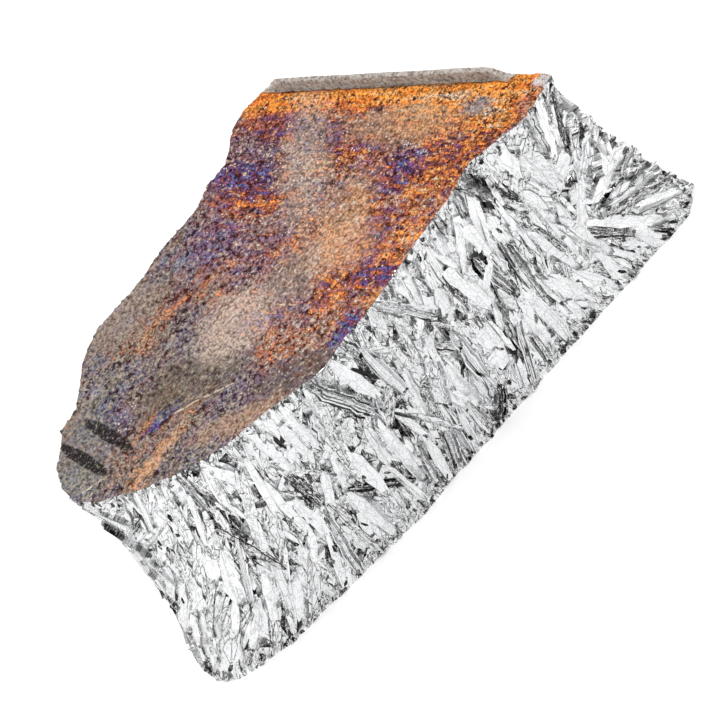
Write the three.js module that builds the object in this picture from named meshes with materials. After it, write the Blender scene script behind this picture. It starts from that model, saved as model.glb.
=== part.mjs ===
// A broken end of a cast bismuth slab, in millimetres, +Z up, lying on its
// flat cast underside.  The origin is the bottom centre of its bounding box.
//
//   top        the tarnished cast skin, with a low raised lip along one edge
//   wall       the flat cast side of the slab, behind that lip
//   fracture   the long broken face in front, and the broken face at the back
//   foot       the flat cast underside
//
// The plan is walked anticlockwise.  Each station pairs a point on the edge
// of the top skin with the point of the underside that stands below it.
import * as THREE from 'three';

// ---- driving dimensions ----------------------------------------------------
const THICKNESS = 37;        // underside to top skin
const LIP_HEIGHT = 1.4;      // the lip stands this far above the top skin
const CREASE_DEPTH = 0.5;    // the groove that runs along the lip's inner foot
const SKIN_SAG = 0.7;        // the skin sinks this much towards its middle
const GRAIN_STEP = 2.5;      // spacing of the vertices along the outline
const LEVELS = 8;            // bands between the underside and the top skin
const FRACTURE_RELIEF = 1.5; // height of the broken metal's coarse steps
const WALL_RELIEF = 0.15;    // the cast wall is nearly flat
const REST_FACE = [50, 24];  // the plain rectangle in the middle of the underside
const HEART = [0, 0];        // the point that the rings of the skin close on

// ---- the plan ----------------------------------------------------------------
// Each corner of the outline: [top x, top y, foot x, foot y, hollow].  The face
// between top and foot is cut back by `hollow` at half its height.
const FRONT_FRACTURE = [
  [-44.3, -3.5, -50.4, -8.6, 2.0],
  [-44.2, -7.3, -50.9, -11.8, 2.2],
  [-42.4, -10.3, -50.0, -15.8, 2.2],
  [-39.8, -12.3, -47.7, -18.9, 1.6],
  [-35.2, -16.2, -44.6, -20.1, 1.0],
  [-29.4, -19.5, -38.0, -21.7, 0.5],
  [-23.9, -21.8, -30.4, -22.1, 0.0],
  [-15.0, -23.6, -20.0, -22.7, -0.2],
  [-6.1, -26.0, -11.6, -23.3, 0.4],
  [-0.7, -24.8, -5.6, -22.5, 0.0],
  [6.9, -24.0, 3.0, -22.4, 0.5],
  [15.9, -21.8, 13.6, -22.0, -0.4],
  [23.9, -20.4, 22.6, -21.5, 0.0],
  [29.2, -18.5, 28.6, -21.3, 0.8],
  [38.5, -20.6, 38.4, -20.9, 0.0],
  [46.2, -18.7, 47.2, -20.7, 0.9],
];
const BARE_WALL = [
  [45.2, -16.6, 50.8, -16.4, 0.9],
];
const LIPPED_WALL = [
  [41.2, -9.0, 46.2, -8.6, 0.0],
];
const BACK_FRACTURE = [
  [18.9, 25.3, 22.4, 24.8, 0.0],
  [13.3, 25.5, 12.6, 25.4, 0.8],
  [9.8, 24.2, 8.6, 24.2, 1.2],
  [6.4, 20.2, 3.6, 22.2, -0.6],
  [0.9, 19.4, -3.0, 20.6, 0.4],
  [-2.0, 17.8, -6.4, 18.8, 1.0],
  [-10.0, 17.4, -12.4, 18.6, -0.8],
  [-14.0, 16.1, -17.0, 16.8, 0.2],
  [-24.7, 15.4, -26.4, 16.2, -1.0],
  [-28.6, 13.4, -31.2, 12.8, 0.6],
  [-34.8, 7.0, -37.6, 6.0, -0.5],
  [-38.2, 5.8, -42.6, 3.4, 0.8],
  [-43.1, 0.6, -48.2, -3.2, 1.2],
];

// ---- small helpers -----------------------------------------------------------
/** A zigzag of height 0 to 1 that repeats each time x grows by 1. */
function zigzag(x) {
  return 2 * Math.abs(x - Math.round(x));
}

/** Blend from a to b. */
function mix(a, b, share) {
  return a + (b - a) * share;
}

/** The coarse steps of broken metal: blades that stand and lean along the height. */
function brokenRelief(along, height) {
  const bent = along + 2.6 * Math.sin(height / 7 + along / 19);
  const blades = zigzag(bent / 8.6 + height / 31);
  const crossing = zigzag(bent / 5.2 - height / 23 + 0.3);
  const shelves = zigzag(height / 14.5 + along / 47);
  return 0.45 * blades + 0.3 * crossing + 0.25 * shelves;
}

// ---- the side band -----------------------------------------------------------
/** Every corner of the outline, each with the surface that starts there. */
function stations() {
  const onFace = (corners, face) => corners.map((corner) => ({ corner, face }));
  return [
    ...onFace(FRONT_FRACTURE, 'fracture'),
    ...onFace(BARE_WALL, 'wall'),
    ...onFace(LIPPED_WALL, 'lipped wall'),
    ...onFace(BACK_FRACTURE, 'fracture'),
  ];
}

/** Walk the outline: one column every GRAIN_STEP, with a column at each corner. */
function sideColumns() {
  const walk = stations();
  const columns = [];
  let along = 0;
  walk.forEach(({ corner, face }, index) => {
    const next = walk[(index + 1) % walk.length].corner;
    const length = Math.hypot(next[0] - corner[0], next[1] - corner[1]);
    const count = Math.max(1, Math.round(length / GRAIN_STEP));
    for (let step = 0; step < count; step += 1) {
      const share = step / count;
      const [topX, topY, footX, footY, hollow] = corner.map((a, k) => mix(a, next[k], share));
      columns.push({
        top: [topX, topY],
        foot: [footX, footY],
        hollow,
        face,
        along: along + length * share,
      });
    }
    along += length;
  });
  return columns;
}

/** The outward direction of column i in the plan. */
function outward(columns, i) {
  const before = columns[(i + columns.length - 1) % columns.length].foot;
  const after = columns[(i + 1) % columns.length].foot;
  const run = [after[0] - before[0], after[1] - before[1]];
  const length = Math.hypot(run[0], run[1]);
  return [run[1] / length, -run[0] / length];
}

/** A point of the side, cut back from the outline by the hollow and the relief. */
function sidePoint(columns, i, level) {
  const column = columns[i];
  const share = level / LEVELS;
  const height = THICKNESS * share;
  const middle = 4 * share * (1 - share);
  const relief = column.face === 'fracture'
    ? FRACTURE_RELIEF * Math.min(1, middle + 0.25) * brokenRelief(column.along, height)
    : WALL_RELIEF * zigzag(column.along / 13 + height / 19);
  const cut = relief + column.hollow * middle;
  const normal = outward(columns, i);
  const x = mix(column.foot[0], column.top[0], share) - normal[0] * cut;
  const y = mix(column.foot[1], column.top[1], share) - normal[1] * cut;
  return [x, y, height];
}

// ---- the top skin ------------------------------------------------------------
// Each ring is the outline shrunk towards the heart by `shrink`.  Its height is
// given on the lip, and on the plain skin.
const SKIN_RINGS = [
  { shrink: 0.024, lip: LIP_HEIGHT, plain: 0.03 },
  { shrink: 0.034, lip: -CREASE_DEPTH, plain: 0 },
  { shrink: 0.07, lip: 0, plain: -0.05 * SKIN_SAG },
  { shrink: 0.36, lip: -0.4 * SKIN_SAG, plain: -0.4 * SKIN_SAG },
  { shrink: 0.62, lip: -0.8 * SKIN_SAG, plain: -0.8 * SKIN_SAG },
];

/** How much of the lip's height a column carries. */
function lipShare(column) {
  return column.face === 'lipped wall' ? 1 : 0;
}

/** A point of one ring of the top skin. */
function skinPoint(column, ring) {
  const x = mix(column.top[0], HEART[0], ring.shrink);
  const y = mix(column.top[1], HEART[1], ring.shrink);
  const rise = mix(ring.plain, ring.lip, lipShare(column));
  return [x, y, THICKNESS + rise];
}

// ---- the mesh ----------------------------------------------------------------
/** Collects points and triangles. */
class Skin {
  constructor() {
    this.points = [];
    this.triangles = [];
  }

  /** Add a ring of points and return the indices that they got. */
  addRing(points) {
    const first = this.points.length;
    this.points.push(...points);
    return points.map((_, offset) => first + offset);
  }

  /** Join two rings of equal count, the outer or lower one first. */
  joinRings(lower, upper) {
    lower.forEach((a, i) => {
      const next = (i + 1) % lower.length;
      this.triangles.push([a, lower[next], upper[next]]);
      this.triangles.push([a, upper[next], upper[i]]);
    });
  }

  /** Close a ring onto a single point. */
  closeRing(ring, point) {
    const [centre] = this.addRing([point]);
    ring.forEach((a, i) => {
      this.triangles.push([a, ring[(i + 1) % ring.length], centre]);
    });
  }

  /** Close the flat underside: a plain rectangle in it, and the rest around that. */
  closeUnderside(ring) {
    const [halfLength, halfWidth] = REST_FACE.map((side) => side / 2);
    const corners = this.addRing([
      [-halfLength, -halfWidth, 0],
      [halfLength, -halfWidth, 0],
      [halfLength, halfWidth, 0],
      [-halfLength, halfWidth, 0],
    ]);
    const plan = (index) => new THREE.Vector2(this.points[index][0], this.points[index][1]);
    const hole = [...corners].reverse();
    const around = THREE.ShapeUtils.triangulateShape(ring.map(plan), [hole.map(plan)]);
    const names = [...ring, ...hole];
    around.forEach(([a, b, c]) => this.triangles.push([names[a], names[c], names[b]]));
    this.triangles.push([corners[0], corners[2], corners[1]]);
    this.triangles.push([corners[0], corners[3], corners[2]]);
  }

  /** The closed surface as a three.js geometry. */
  toGeometry() {
    const geometry = new THREE.BufferGeometry();
    const positions = new THREE.Float32BufferAttribute(this.points.flat(), 3);
    geometry.setAttribute('position', positions);
    geometry.setIndex(this.triangles.flat());
    geometry.computeVertexNormals();
    return geometry;
  }
}

/** The whole chunk: underside, side band, lip and top skin. */
function buildChunk() {
  const columns = sideColumns();
  const skin = new Skin();
  const levels = [];
  for (let level = 0; level <= LEVELS; level += 1) {
    levels.push(skin.addRing(columns.map((_, i) => sidePoint(columns, i, level))));
  }
  skin.closeUnderside(levels[0]);
  for (let level = 0; level < LEVELS; level += 1) {
    skin.joinRings(levels[level], levels[level + 1]);
  }
  let outer = levels[LEVELS];
  columns.forEach((column, i) => {
    skin.points[outer[i]][2] += LIP_HEIGHT * lipShare(column);
  });
  SKIN_RINGS.forEach((ring) => {
    const inner = skin.addRing(columns.map((column) => skinPoint(column, ring)));
    skin.joinRings(outer, inner);
    outer = inner;
  });
  skin.closeRing(outer, [HEART[0], HEART[1], THICKNESS - SKIN_SAG]);
  const geometry = skin.toGeometry();
  geometry.computeBoundingBox();
  const middle = geometry.boundingBox.getCenter(new THREE.Vector3());
  geometry.translate(-middle.x, -middle.y, 0);
  return geometry;
}

const bismuth = new THREE.MeshStandardMaterial({
  color: 0xcfcfcd,
  roughness: 0.32,
  metalness: 1.0,
});

const chunk = new THREE.Mesh(buildChunk(), bismuth);
chunk.name = 'bismuth_chunk';

const group = new THREE.Group();
group.add(chunk);

export default group;
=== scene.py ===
"""The looks of a bismuth chunk: the broken end of a cast slab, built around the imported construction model.

The chunk is one closed mesh.  Its side is a band of crystal facets where the metal broke and a plain cast
wall where the mould stood.  A tarnished cast skin with a low lip closes the top, and a plain cast underside
closes the bottom.  Lengths are millimetres until the mesh is made, and metres after that.
"""

from __future__ import annotations

import logging
import math
import random
from collections.abc import Callable
from dataclasses import dataclass, field
from enum import Enum, IntEnum

import bpy
import numpy as np
from mathutils import Matrix, Vector, noise
from mathutils.bvhtree import BVHTree
from mathutils.geometry import delaunay_2d_cdt


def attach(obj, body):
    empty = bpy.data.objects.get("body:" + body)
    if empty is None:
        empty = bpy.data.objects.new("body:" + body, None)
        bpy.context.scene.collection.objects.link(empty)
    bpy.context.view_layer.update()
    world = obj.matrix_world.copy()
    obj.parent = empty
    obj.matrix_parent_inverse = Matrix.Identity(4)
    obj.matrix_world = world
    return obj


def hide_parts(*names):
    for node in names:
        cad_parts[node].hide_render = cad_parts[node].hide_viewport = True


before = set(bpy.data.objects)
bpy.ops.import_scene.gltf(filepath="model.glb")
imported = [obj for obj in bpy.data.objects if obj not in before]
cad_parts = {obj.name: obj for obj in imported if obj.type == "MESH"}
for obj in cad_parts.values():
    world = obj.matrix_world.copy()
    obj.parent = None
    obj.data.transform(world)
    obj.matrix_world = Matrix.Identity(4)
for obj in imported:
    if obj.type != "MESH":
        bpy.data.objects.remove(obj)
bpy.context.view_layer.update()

LOG = logging.getLogger("bismuth_chunk")
MM = 0.001
NODE = "bismuth_chunk"
LIP_DIRECTION = (-0.55, 0.83)  # the way that the lip runs, from the front to the back
BORDER = 1e-6  # how close to a border of the band counts as on it
TINY = 1e-9  # keeps a division by a length from failing
NO_AREA = 1e-13  # a face below this, in square metres, has no area

Pair = tuple[float, float]
Triple = tuple[float, float, float]
Outline = list[Pair]
Edge = tuple[int, int]
Triangle = tuple[int, int, int]


class Surface(IntEnum):
    """The kinds of surface on the chunk, in the order of the mesh's material slots."""

    FRACTURE = 0
    SKIN = 1
    CAST = 2


class Habit(Enum):
    """How a crystal broke."""

    MATRIX = "matrix"
    NEEDLE = "needle"
    BLADE = "blade"
    CORRUGATED = "corrugated"
    CHILL = "chill"
    CAST = "cast"


# ---- the overall form --------------------------------------------------------


@dataclass
class CastForm:
    """The slab's overall form, read off the construction solid.

    The side is unrolled into a band: ``s`` runs anticlockwise round the outline from a seam in the cast wall,
    and ``t`` runs from 0 at the underside to 1 at the rim.
    """

    node: str = NODE
    seam_bearing: float = 8.0
    shoulder: float = 0.96
    rim_inset: float = 0.25
    bearings: int = 1440
    rows: int = 20
    step: float = 0.25
    smoothing: float = 3.0

    def __post_init__(self) -> None:
        """Read the solid, unroll its side and find the corners of the outline."""
        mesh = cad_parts[self.node].data
        self.corners = np.array([v.co for v in mesh.vertices]) / MM
        faces = [tuple(p.vertices) for p in mesh.polygons]
        self.tree = BVHTree.FromPolygons([Vector(c) for c in self.corners], faces)
        self.low = self.corners.min(0)
        self.high = self.corners.max(0)
        self._unroll()

    def _hit(self, origin: Triple, aim: Triple) -> np.ndarray:
        """Return the first point of the solid along a ray."""
        place = self.tree.ray_cast(Vector(origin), Vector(aim))[0]
        return np.array(place)

    def _edge(self, bearing: float, height: float) -> np.ndarray:
        """Return the point of the side at a bearing and a height."""
        aim = (-math.cos(bearing), -math.sin(bearing), 0.0)
        reach = 2.0 * float(self.high[0] - self.low[0])
        return self._hit((-aim[0] * reach, -aim[1] * reach, height), aim)

    def _rim_height(self, bearing: float) -> float:
        """Return the height of the rim at a bearing."""
        rim = self._edge(bearing, self.shoulder * self.high[2])
        inward = rim[:2] * (1.0 - self.rim_inset / np.hypot(rim[0], rim[1]))
        return float(self.skin_height(inward[0], inward[1]))

    def skin_height(self, x: float, y: float) -> float:
        """Return the height of the top at a point of the plan."""
        return float(self._hit((x, y, 2.0 * self.high[2]), (0.0, 0.0, -1.0))[2])

    def _unroll(self) -> None:
        """Sample the side by bearing, then space the samples evenly round the outline."""
        shares = np.linspace(0.0, 1.0, self.rows)
        turn = math.radians(self.seam_bearing) + np.linspace(0.0, 2.0 * math.pi, self.bearings + 1)
        table = np.zeros((len(turn), self.rows, 3))
        for k, bearing in enumerate(turn[:-1]):
            rim = self._rim_height(bearing)
            for j, share in enumerate(shares):
                height = min(max(share * rim, 0.02), self.shoulder * self.high[2])
                table[k, j] = self._edge(bearing, height)
                table[k, j, 2] = share * rim
        table[-1] = table[0]
        outline = table[:, :, :2].mean(1)
        run = np.concatenate([[0.0], np.cumsum(np.linalg.norm(np.diff(outline, axis=0), axis=1))])
        self.length = float(run[-1])
        self.turn = turn
        self.run = run
        count = int(round(self.length / self.step))
        self.grid_s = np.linspace(0.0, self.length, count + 1)
        flat = table.reshape(len(turn), -1)
        even = np.stack([np.interp(self.grid_s, run, flat[:, c]) for c in range(flat.shape[1])], axis=1)
        self.table = even.reshape(count + 1, self.rows, 3)
        self.normals = self._side_normals()

    def _side_normals(self) -> np.ndarray:
        """Return the outward direction at each sample of a smoothed copy of the side."""
        ring = self.table[:-1]
        half = int(round(self.smoothing / self.step))
        window = np.hanning(2 * half + 3)[1:-1]
        window /= window.sum()
        soft = sum(w * np.roll(ring, k - half, axis=0) for k, w in enumerate(window))
        along = np.roll(soft, -1, axis=0) - np.roll(soft, 1, axis=0)
        upward = np.gradient(soft, axis=1)
        outward = np.cross(along, upward)
        outward /= np.linalg.norm(outward, axis=2, keepdims=True)
        return np.concatenate([outward, outward[:1]], axis=0)

    def _look_up(self, table: np.ndarray, s: np.ndarray, t: np.ndarray) -> np.ndarray:
        """Blend a table of the side between its samples."""
        u = np.clip(np.asarray(s, float) / self.length, 0.0, 1.0) * (len(table) - 1)
        v = np.clip(np.asarray(t, float), 0.0, 1.0) * (self.rows - 1)
        i = np.minimum(u.astype(int), len(table) - 2)
        j = np.minimum(v.astype(int), self.rows - 2)
        fu = (u - i)[:, None]
        fv = (v - j)[:, None]
        low = table[i, j] * (1 - fu) + table[i + 1, j] * fu
        high = table[i, j + 1] * (1 - fu) + table[i + 1, j + 1] * fu
        return low * (1 - fv) + high * fv

    def point(self, s: np.ndarray, t: np.ndarray) -> np.ndarray:
        """Return the points of the side at band places."""
        return self._look_up(self.table, s, t)

    def outward(self, s: np.ndarray, t: np.ndarray) -> np.ndarray:
        """Return the outward directions at band places."""
        found = self._look_up(self.normals, s, t)
        return found / np.linalg.norm(found, axis=1, keepdims=True)

    def s_of(self, x: float, y: float) -> float:
        """Return how far round the outline the bearing of a plan point lies."""
        start = math.radians(self.seam_bearing)
        bearing = (math.atan2(y, x) - start) % (2.0 * math.pi) + start
        return float(np.interp(bearing, self.turn, self.run))

    def lip_ends(self) -> tuple[np.ndarray, np.ndarray]:
        """Return the two ends of the lip's outer edge, the front one first."""
        edge = self.corners[self.corners[:, 2] > self.high[2] - 0.01]
        reach = edge[:, :2] @ np.array(LIP_DIRECTION)
        return edge[reach.argmin()], edge[reach.argmax()]


# ---- the crystals ------------------------------------------------------------


def turned(x: float, y: float, angle: float) -> Pair:
    """Return a step in the band as lengths along and across the direction of an angle."""
    cosine, sine = math.cos(angle), math.sin(angle)
    return x * cosine + y * sine, -x * sine + y * cosine


TOPMOST = 1000.0  # a rank above every crystal's


@dataclass
class Crystal:
    """One cleaved face in the band: a flat, tilted plate with its own outline."""

    outline: Outline
    centre: Pair
    angle: float
    rank: float
    habit: Habit
    offset: float = 0.0
    roll: float = 0.0
    pitch: float = 0.0
    # how bright the face is painted, 0 to 1: painted reflection and shade, one grey for each face of the one
    # metal
    tone: float = 0.8

    def height(self, places: np.ndarray) -> np.ndarray:
        """Return how far the plate stands out at band places."""
        away = places - np.array(self.centre)
        along = away @ np.array([math.cos(self.angle), math.sin(self.angle)])
        across = away @ np.array([-math.sin(self.angle), math.cos(self.angle)])
        return self.offset + self.pitch * along + self.roll * across

    def grain(self, places: np.ndarray) -> np.ndarray:
        """Return band places as lengths along and across the crystal."""
        away = places - np.array(self.centre)
        cosine, sine = math.cos(self.angle), math.sin(self.angle)
        return away @ np.array([[cosine, -sine], [sine, cosine]])


@dataclass(frozen=True)
class Lie:
    """How much the crystals of one habit vary: the spreads of their tilts, and where their width is drawn."""

    turn: float
    offset: Pair
    roll: float
    pitch: float
    stations: tuple[float, ...]


LONG_STATIONS = (-0.66, -0.38, -0.12, 0.14, 0.40, 0.66)
LONG_LIE = Lie(0.13, (0.06, 0.10), 0.12, 0.035, LONG_STATIONS)
LIES = {
    Habit.NEEDLE: Lie(0.30, (-0.03, 0.11), 0.22, 0.09, (-0.4, 0.0, 0.4)),
    Habit.BLADE: LONG_LIE,
    Habit.CORRUGATED: LONG_LIE,
}
# The shares of faces painted in shade and of faces painted brightly lit, a stand-in for the reflections that
# the faces catch.
SHADED_AND_LIT_SHARES = {
    Habit.MATRIX: (0.12, 0.10),
    Habit.NEEDLE: (0.08, 0.32),
    Habit.BLADE: (0.03, 0.62),
    Habit.CORRUGATED: (0.12, 0.20),
    Habit.CHILL: (0.42, 0.15),
}
PLATE_TRIES = 3000  # places tried on each face before the plates are given up
BLADE_TRIES = 6000
STRAY_SHARE = 0.12  # this share of the blades lies across the growth
RIDGE_WIDTH = 0.30  # the ridges of a corrugated blade, in millimetres


@dataclass
class Growth:
    """Which way the crystals grew: square to the nearest mould face, and in a fan beside the cast wall."""

    front_corner: float
    back_corner: float
    tip: float
    thickness: float
    tip_lean: float = 17.0
    corner_lean: float = 3.0
    fan_reach: float = 15.0
    fan_height: float = 15.0
    fan_blend: float = 5.0

    def angle(self, s: float, z: float) -> float:
        """Return the direction of growth at a band place, in radians from the band's long side."""
        front = s > self.tip
        corner = self.front_corner if front else self.back_corner
        side = 1.0 if front else -1.0
        share = abs(s - self.tip) / abs(corner - self.tip)
        lean = math.radians(self.tip_lean + (self.corner_lean - self.tip_lean) * share)
        upright = math.pi / 2.0 - lean
        inward = side * (s - corner) + self.fan_reach
        rise = z - self.fan_height
        fan = math.atan2(rise, max(inward, 0.5))
        straight = upright if rise > 0 else upright - math.pi
        weight = min(max((inward + self.fan_blend) / (2.0 * self.fan_blend), 0.0), 1.0)
        weight = weight * weight * (3.0 - 2.0 * weight)
        blended = straight + (fan - straight) * weight
        return blended if front else math.pi - blended


@dataclass(frozen=True)
class Cleft:
    """A place where the break went deep between the crystals, darkened with painted shade: an oval, in
    millimetres and radians.
    """

    s: float
    z: float
    half_length: float
    half_width: float
    turn: float
    depth: float


# The largest clefts of the front, darkened with painted shade: place along the band, height, half length,
# half width.
LARGE_CLEFTS = (
    (185, 31, 4, 1.5),
    (172, 26, 5, 0.5),
    (171, 9, 4, 0.5),
    (154, 29, 5, 1),
    (162, 7, 4, 0.5),
    (140, 21, 3, 0.5),
    (130, 23, 3, 0.5),
    (124, 16, 3, 0.5),
)


@dataclass
class CrystalField:
    """Lays the crystals of both broken faces over one another, the coarse ones on top."""

    growth: Growth
    seed: int = 1
    matrix_size: Pair = (1.3, 2.6)
    chill_depth: float = 2.4
    clefts: list[Cleft] = field(default_factory=list)
    placed: list[tuple[float, ...]] = field(default_factory=list)
    crystals: list[Crystal] = field(default_factory=list)

    def __post_init__(self) -> None:
        """Seed the random draws and place the clefts."""
        self.draw = random.Random(self.seed)
        for s, z, half_length, half_width in LARGE_CLEFTS:
            self.clefts.append(Cleft(s, z, half_length, half_width, self.growth.angle(s, z), 0.9))
        self._scatter_clefts()

    def _scatter_clefts(self, per_100: float = 1.3) -> None:
        """Place the small clefts that break up both faces."""
        for start, end, area in self._spans():
            for _ in range(int(area / 100.0 * per_100)):
                s = self.draw.uniform(start, end)
                z = self.draw.uniform(0.5, self.growth.thickness - 0.5)
                turn = self.growth.angle(s, z) + self.draw.gauss(0.0, 0.2)
                half = (self.draw.uniform(0.7, 3.2), self.draw.uniform(0.3, 0.6))
                self.clefts.append(Cleft(s, z, *half, turn, self.draw.uniform(0.6, 1.0)))

    def _spread(self, centre: float, width: float) -> float:
        """Return a value within ``width`` of ``centre``."""
        return centre + self.draw.uniform(-width, width)

    def shadow(self, s: float, z: float) -> float:
        """Return how deep and torn the break is at a band place, 0 to 1, which sets how much painted shade
        falls there.
        """
        along, across = turned(s, z, self.growth.angle(s, z))
        torn = noise.noise(Vector((0.16 * along, 0.42 * across, 5.0)))
        deepest = min(max(1.8 * (torn - 0.22), 0.0), 0.7)
        for cleft in self.clefts:
            away = (s - cleft.s, z - cleft.z)
            if abs(away[0]) + abs(away[1]) > 2.0 * cleft.half_length + 2.0:
                continue
            along, across = turned(*away, cleft.turn)
            reach, side = along / cleft.half_length, across / (cleft.half_width + 0.3)
            inner = max(0.0, 1.0 - (reach * reach + side * side) ** 1.5)
            deepest = max(deepest, cleft.depth * min(1.0, 1.6 * inner))
        return deepest

    def _tone(self, habit: Habit, s: float, z: float) -> float:
        """Draw how bright a cleaved face is painted, 0 to 1: painted reflection and shade, darker where the
        break is deep.
        """
        darkly_shaded, brightly_lit = SHADED_AND_LIT_SHARES[habit]
        shadow = self.shadow(s, z)
        share = darkly_shaded + (0.75 - 0.35 * (habit is Habit.BLADE)) * shadow
        roll = self.draw.random()
        if roll < 0.6 * share:
            return self.draw.uniform(0.0, 0.3)
        if roll < share + 0.10:
            return self.draw.uniform(0.4, 0.72)
        if roll < 1.0 - brightly_lit * (1.0 - shadow):
            return self.draw.uniform(0.74, 0.88)
        return self.draw.uniform(0.93, 1.0)

    def _spans(self) -> list[Triple]:
        """Return where each broken face starts and ends along the band, and its area."""
        grow = self.growth
        ends = ((grow.back_corner, grow.tip), (grow.tip, grow.front_corner))
        return [(start, end, (end - start) * grow.thickness) for start, end in ends]

    def lay_matrix(self) -> None:
        """Cover the broken faces with small four-sided plates, so that nothing is left bare."""
        grow = self.growth
        wide, tall = self.matrix_size
        start, end = grow.back_corner - 2.0, grow.front_corner + 2.0
        columns = int((end - start) / wide)
        rows = int(grow.thickness / tall)
        knots = {}
        for i in range(columns + 1):
            for j in range(rows + 1):
                s = start + (end - start) * i / columns
                z = grow.thickness * j / rows
                s += self._spread(0.0, 0.42 * wide) if 0 < i < columns else 0.0
                z += self._spread(0.0, 0.42 * tall) if 0 < j < rows else 0.0
                knots[i, j] = (s, z)
        for i in range(columns):
            for j in range(rows):
                outline = [knots[i, j], knots[i + 1, j], knots[i + 1, j + 1], knots[i, j + 1]]
                self._add_plate(outline, Habit.MATRIX, self.draw.random(), self._spread(-0.16, 0.12))

    def _add_plate(self, outline: Outline, habit: Habit, rank: float, offset: float) -> None:
        """Add one small plate with a free tilt."""
        s = sum(p[0] for p in outline) / len(outline)
        z = sum(p[1] for p in outline) / len(outline)
        self.crystals.append(
            Crystal(
                outline=outline,
                centre=(s, z),
                angle=self._spread(self.growth.angle(s, z), 0.35),
                rank=rank,
                habit=habit,
                offset=offset,
                roll=self.draw.gauss(0.0, 0.30),
                pitch=self.draw.gauss(0.0, 0.16),
                tone=self._tone(habit, s, z),
            )
        )

    def lay_needles(self, spacing: float = 1.9) -> None:
        """Strew middling crystals over both broken faces."""
        for start, end, area in self._spans():
            for _ in range(int(area / spacing**2)):
                s = self.draw.uniform(start, end)
                z = self.draw.uniform(0.0, self.growth.thickness)
                half = (self.draw.uniform(1.4, 4.2), self.draw.uniform(0.28, 0.75))
                self._add_blade(s, z, *half, Habit.NEEDLE)

    def lay_plates(self, count_per_100: float = 0.65) -> None:
        """Lay the broad plates that are painted brightly lit, as if they catch the light, well apart and
        clear of the clefts.
        """
        for start, end, area in self._spans():
            wanted = int(area / 100.0 * count_per_100)
            for _ in range(PLATE_TRIES):
                if wanted == 0:
                    break
                half_length = self.draw.uniform(3.0, 7.0)
                half_width = self.draw.uniform(0.9, 1.7)
                wanted -= self._try_blade((start, end), half_length, half_width, Habit.BLADE, broad=True)

    def lay_blades(self, count_per_100: float = 4.6) -> None:
        """Lay the long blades, each clear of the middle of those already there."""
        for start, end, area in self._spans():
            wanted = int(area / 100.0 * count_per_100)
            for _ in range(BLADE_TRIES):
                if wanted == 0:
                    break
                half_length = self.draw.uniform(2.6, 8.6)
                half_width = self.draw.uniform(0.6, 1.15) + 0.6 * self.draw.random() ** 3
                habit = Habit.CORRUGATED if self.draw.random() < 0.16 else Habit.BLADE
                wanted -= self._try_blade((start, end), half_length, half_width, habit)

    def _try_blade(
        self, span: Pair, half_length: float, half_width: float, habit: Habit, broad: bool = False
    ) -> bool:
        """Add a blade at a random place, and say whether there was room for it.

        Args:
            span: Where the broken face starts and ends along the band.
            half_length: Half the blade's length.
            half_width: Half its width.
            habit: Its kind.
            broad: Whether it is one of the broad plates painted brightly lit.

        Returns:
            Whether the blade was added.
        """
        s = self.draw.uniform(span[0] + 1.0, span[1] - 1.0)
        z = self.draw.uniform(2.0, self.growth.thickness - 2.0)
        blade = (s, z, half_length, half_width, self.growth.angle(s, z))
        if self.shadow(s, z) > 0.5 or self._crowded(*blade):
            return False
        self.placed.append(blade)
        self._add_blade(s, z, half_length, half_width, habit, broad)
        return True

    def _crowded(self, s: float, z: float, half_length: float, half_width: float, angle: float) -> bool:
        """Say whether a new blade would lie on the middle of an earlier one."""
        for other_s, other_z, other_length, other_width, other_angle in self.placed:
            along, across = turned(s - other_s, z - other_z, 0.5 * (angle + other_angle))
            reach = 0.80 * (half_length + other_length)
            room = 0.72 * (half_width + other_width)
            if (along / reach) ** 2 + (across / room) ** 2 < 1.0:
                return True
        return False

    def lay_chill(self, spacing: float = 0.72) -> None:
        """Lay the fine grains that froze first, along the edges that touched the mould."""
        grow = self.growth
        for start, end, area in self._spans():
            for _ in range(int(area / spacing**2)):
                s = self.draw.uniform(start, end)
                z = self.draw.uniform(0.0, grow.thickness)
                corner = min(abs(s - grow.front_corner), abs(s - grow.back_corner))
                depth = min(z, 0.8 + grow.thickness - z, 0.3 + corner)
                keep = math.exp(-((depth / (0.72 * self.chill_depth)) ** 2)) + 0.02
                if self.draw.random() < keep:
                    self._add_chill_grain(s, z)

    def _add_chill_grain(self, s: float, z: float) -> None:
        """Add one fine grain: a small lozenge with a free turn."""
        turn = self._spread(self.growth.angle(s, z), 0.8)
        half_length = self.draw.uniform(0.35, 1.0)
        half_width = self.draw.uniform(0.18, 0.42)
        outline = []
        for share in (0.0, 0.2, 0.42, 0.6, 0.8):
            bearing = 2.0 * math.pi * (share + self.draw.uniform(-0.05, 0.05))
            x = half_length * math.cos(bearing)
            y = half_width * math.sin(bearing)
            outline.append(self._place(s, z, turn, x, y))
        self._add_plate(outline, Habit.CHILL, 3.0 + self.draw.random(), self._spread(-0.14, 0.14))

    @staticmethod
    def _place(s: float, z: float, turn: float, along: float, across: float) -> Pair:
        """Return the band place at lengths along and across a crystal."""
        return (
            s + along * math.cos(turn) - across * math.sin(turn),
            z + along * math.sin(turn) + across * math.cos(turn),
        )

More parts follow.
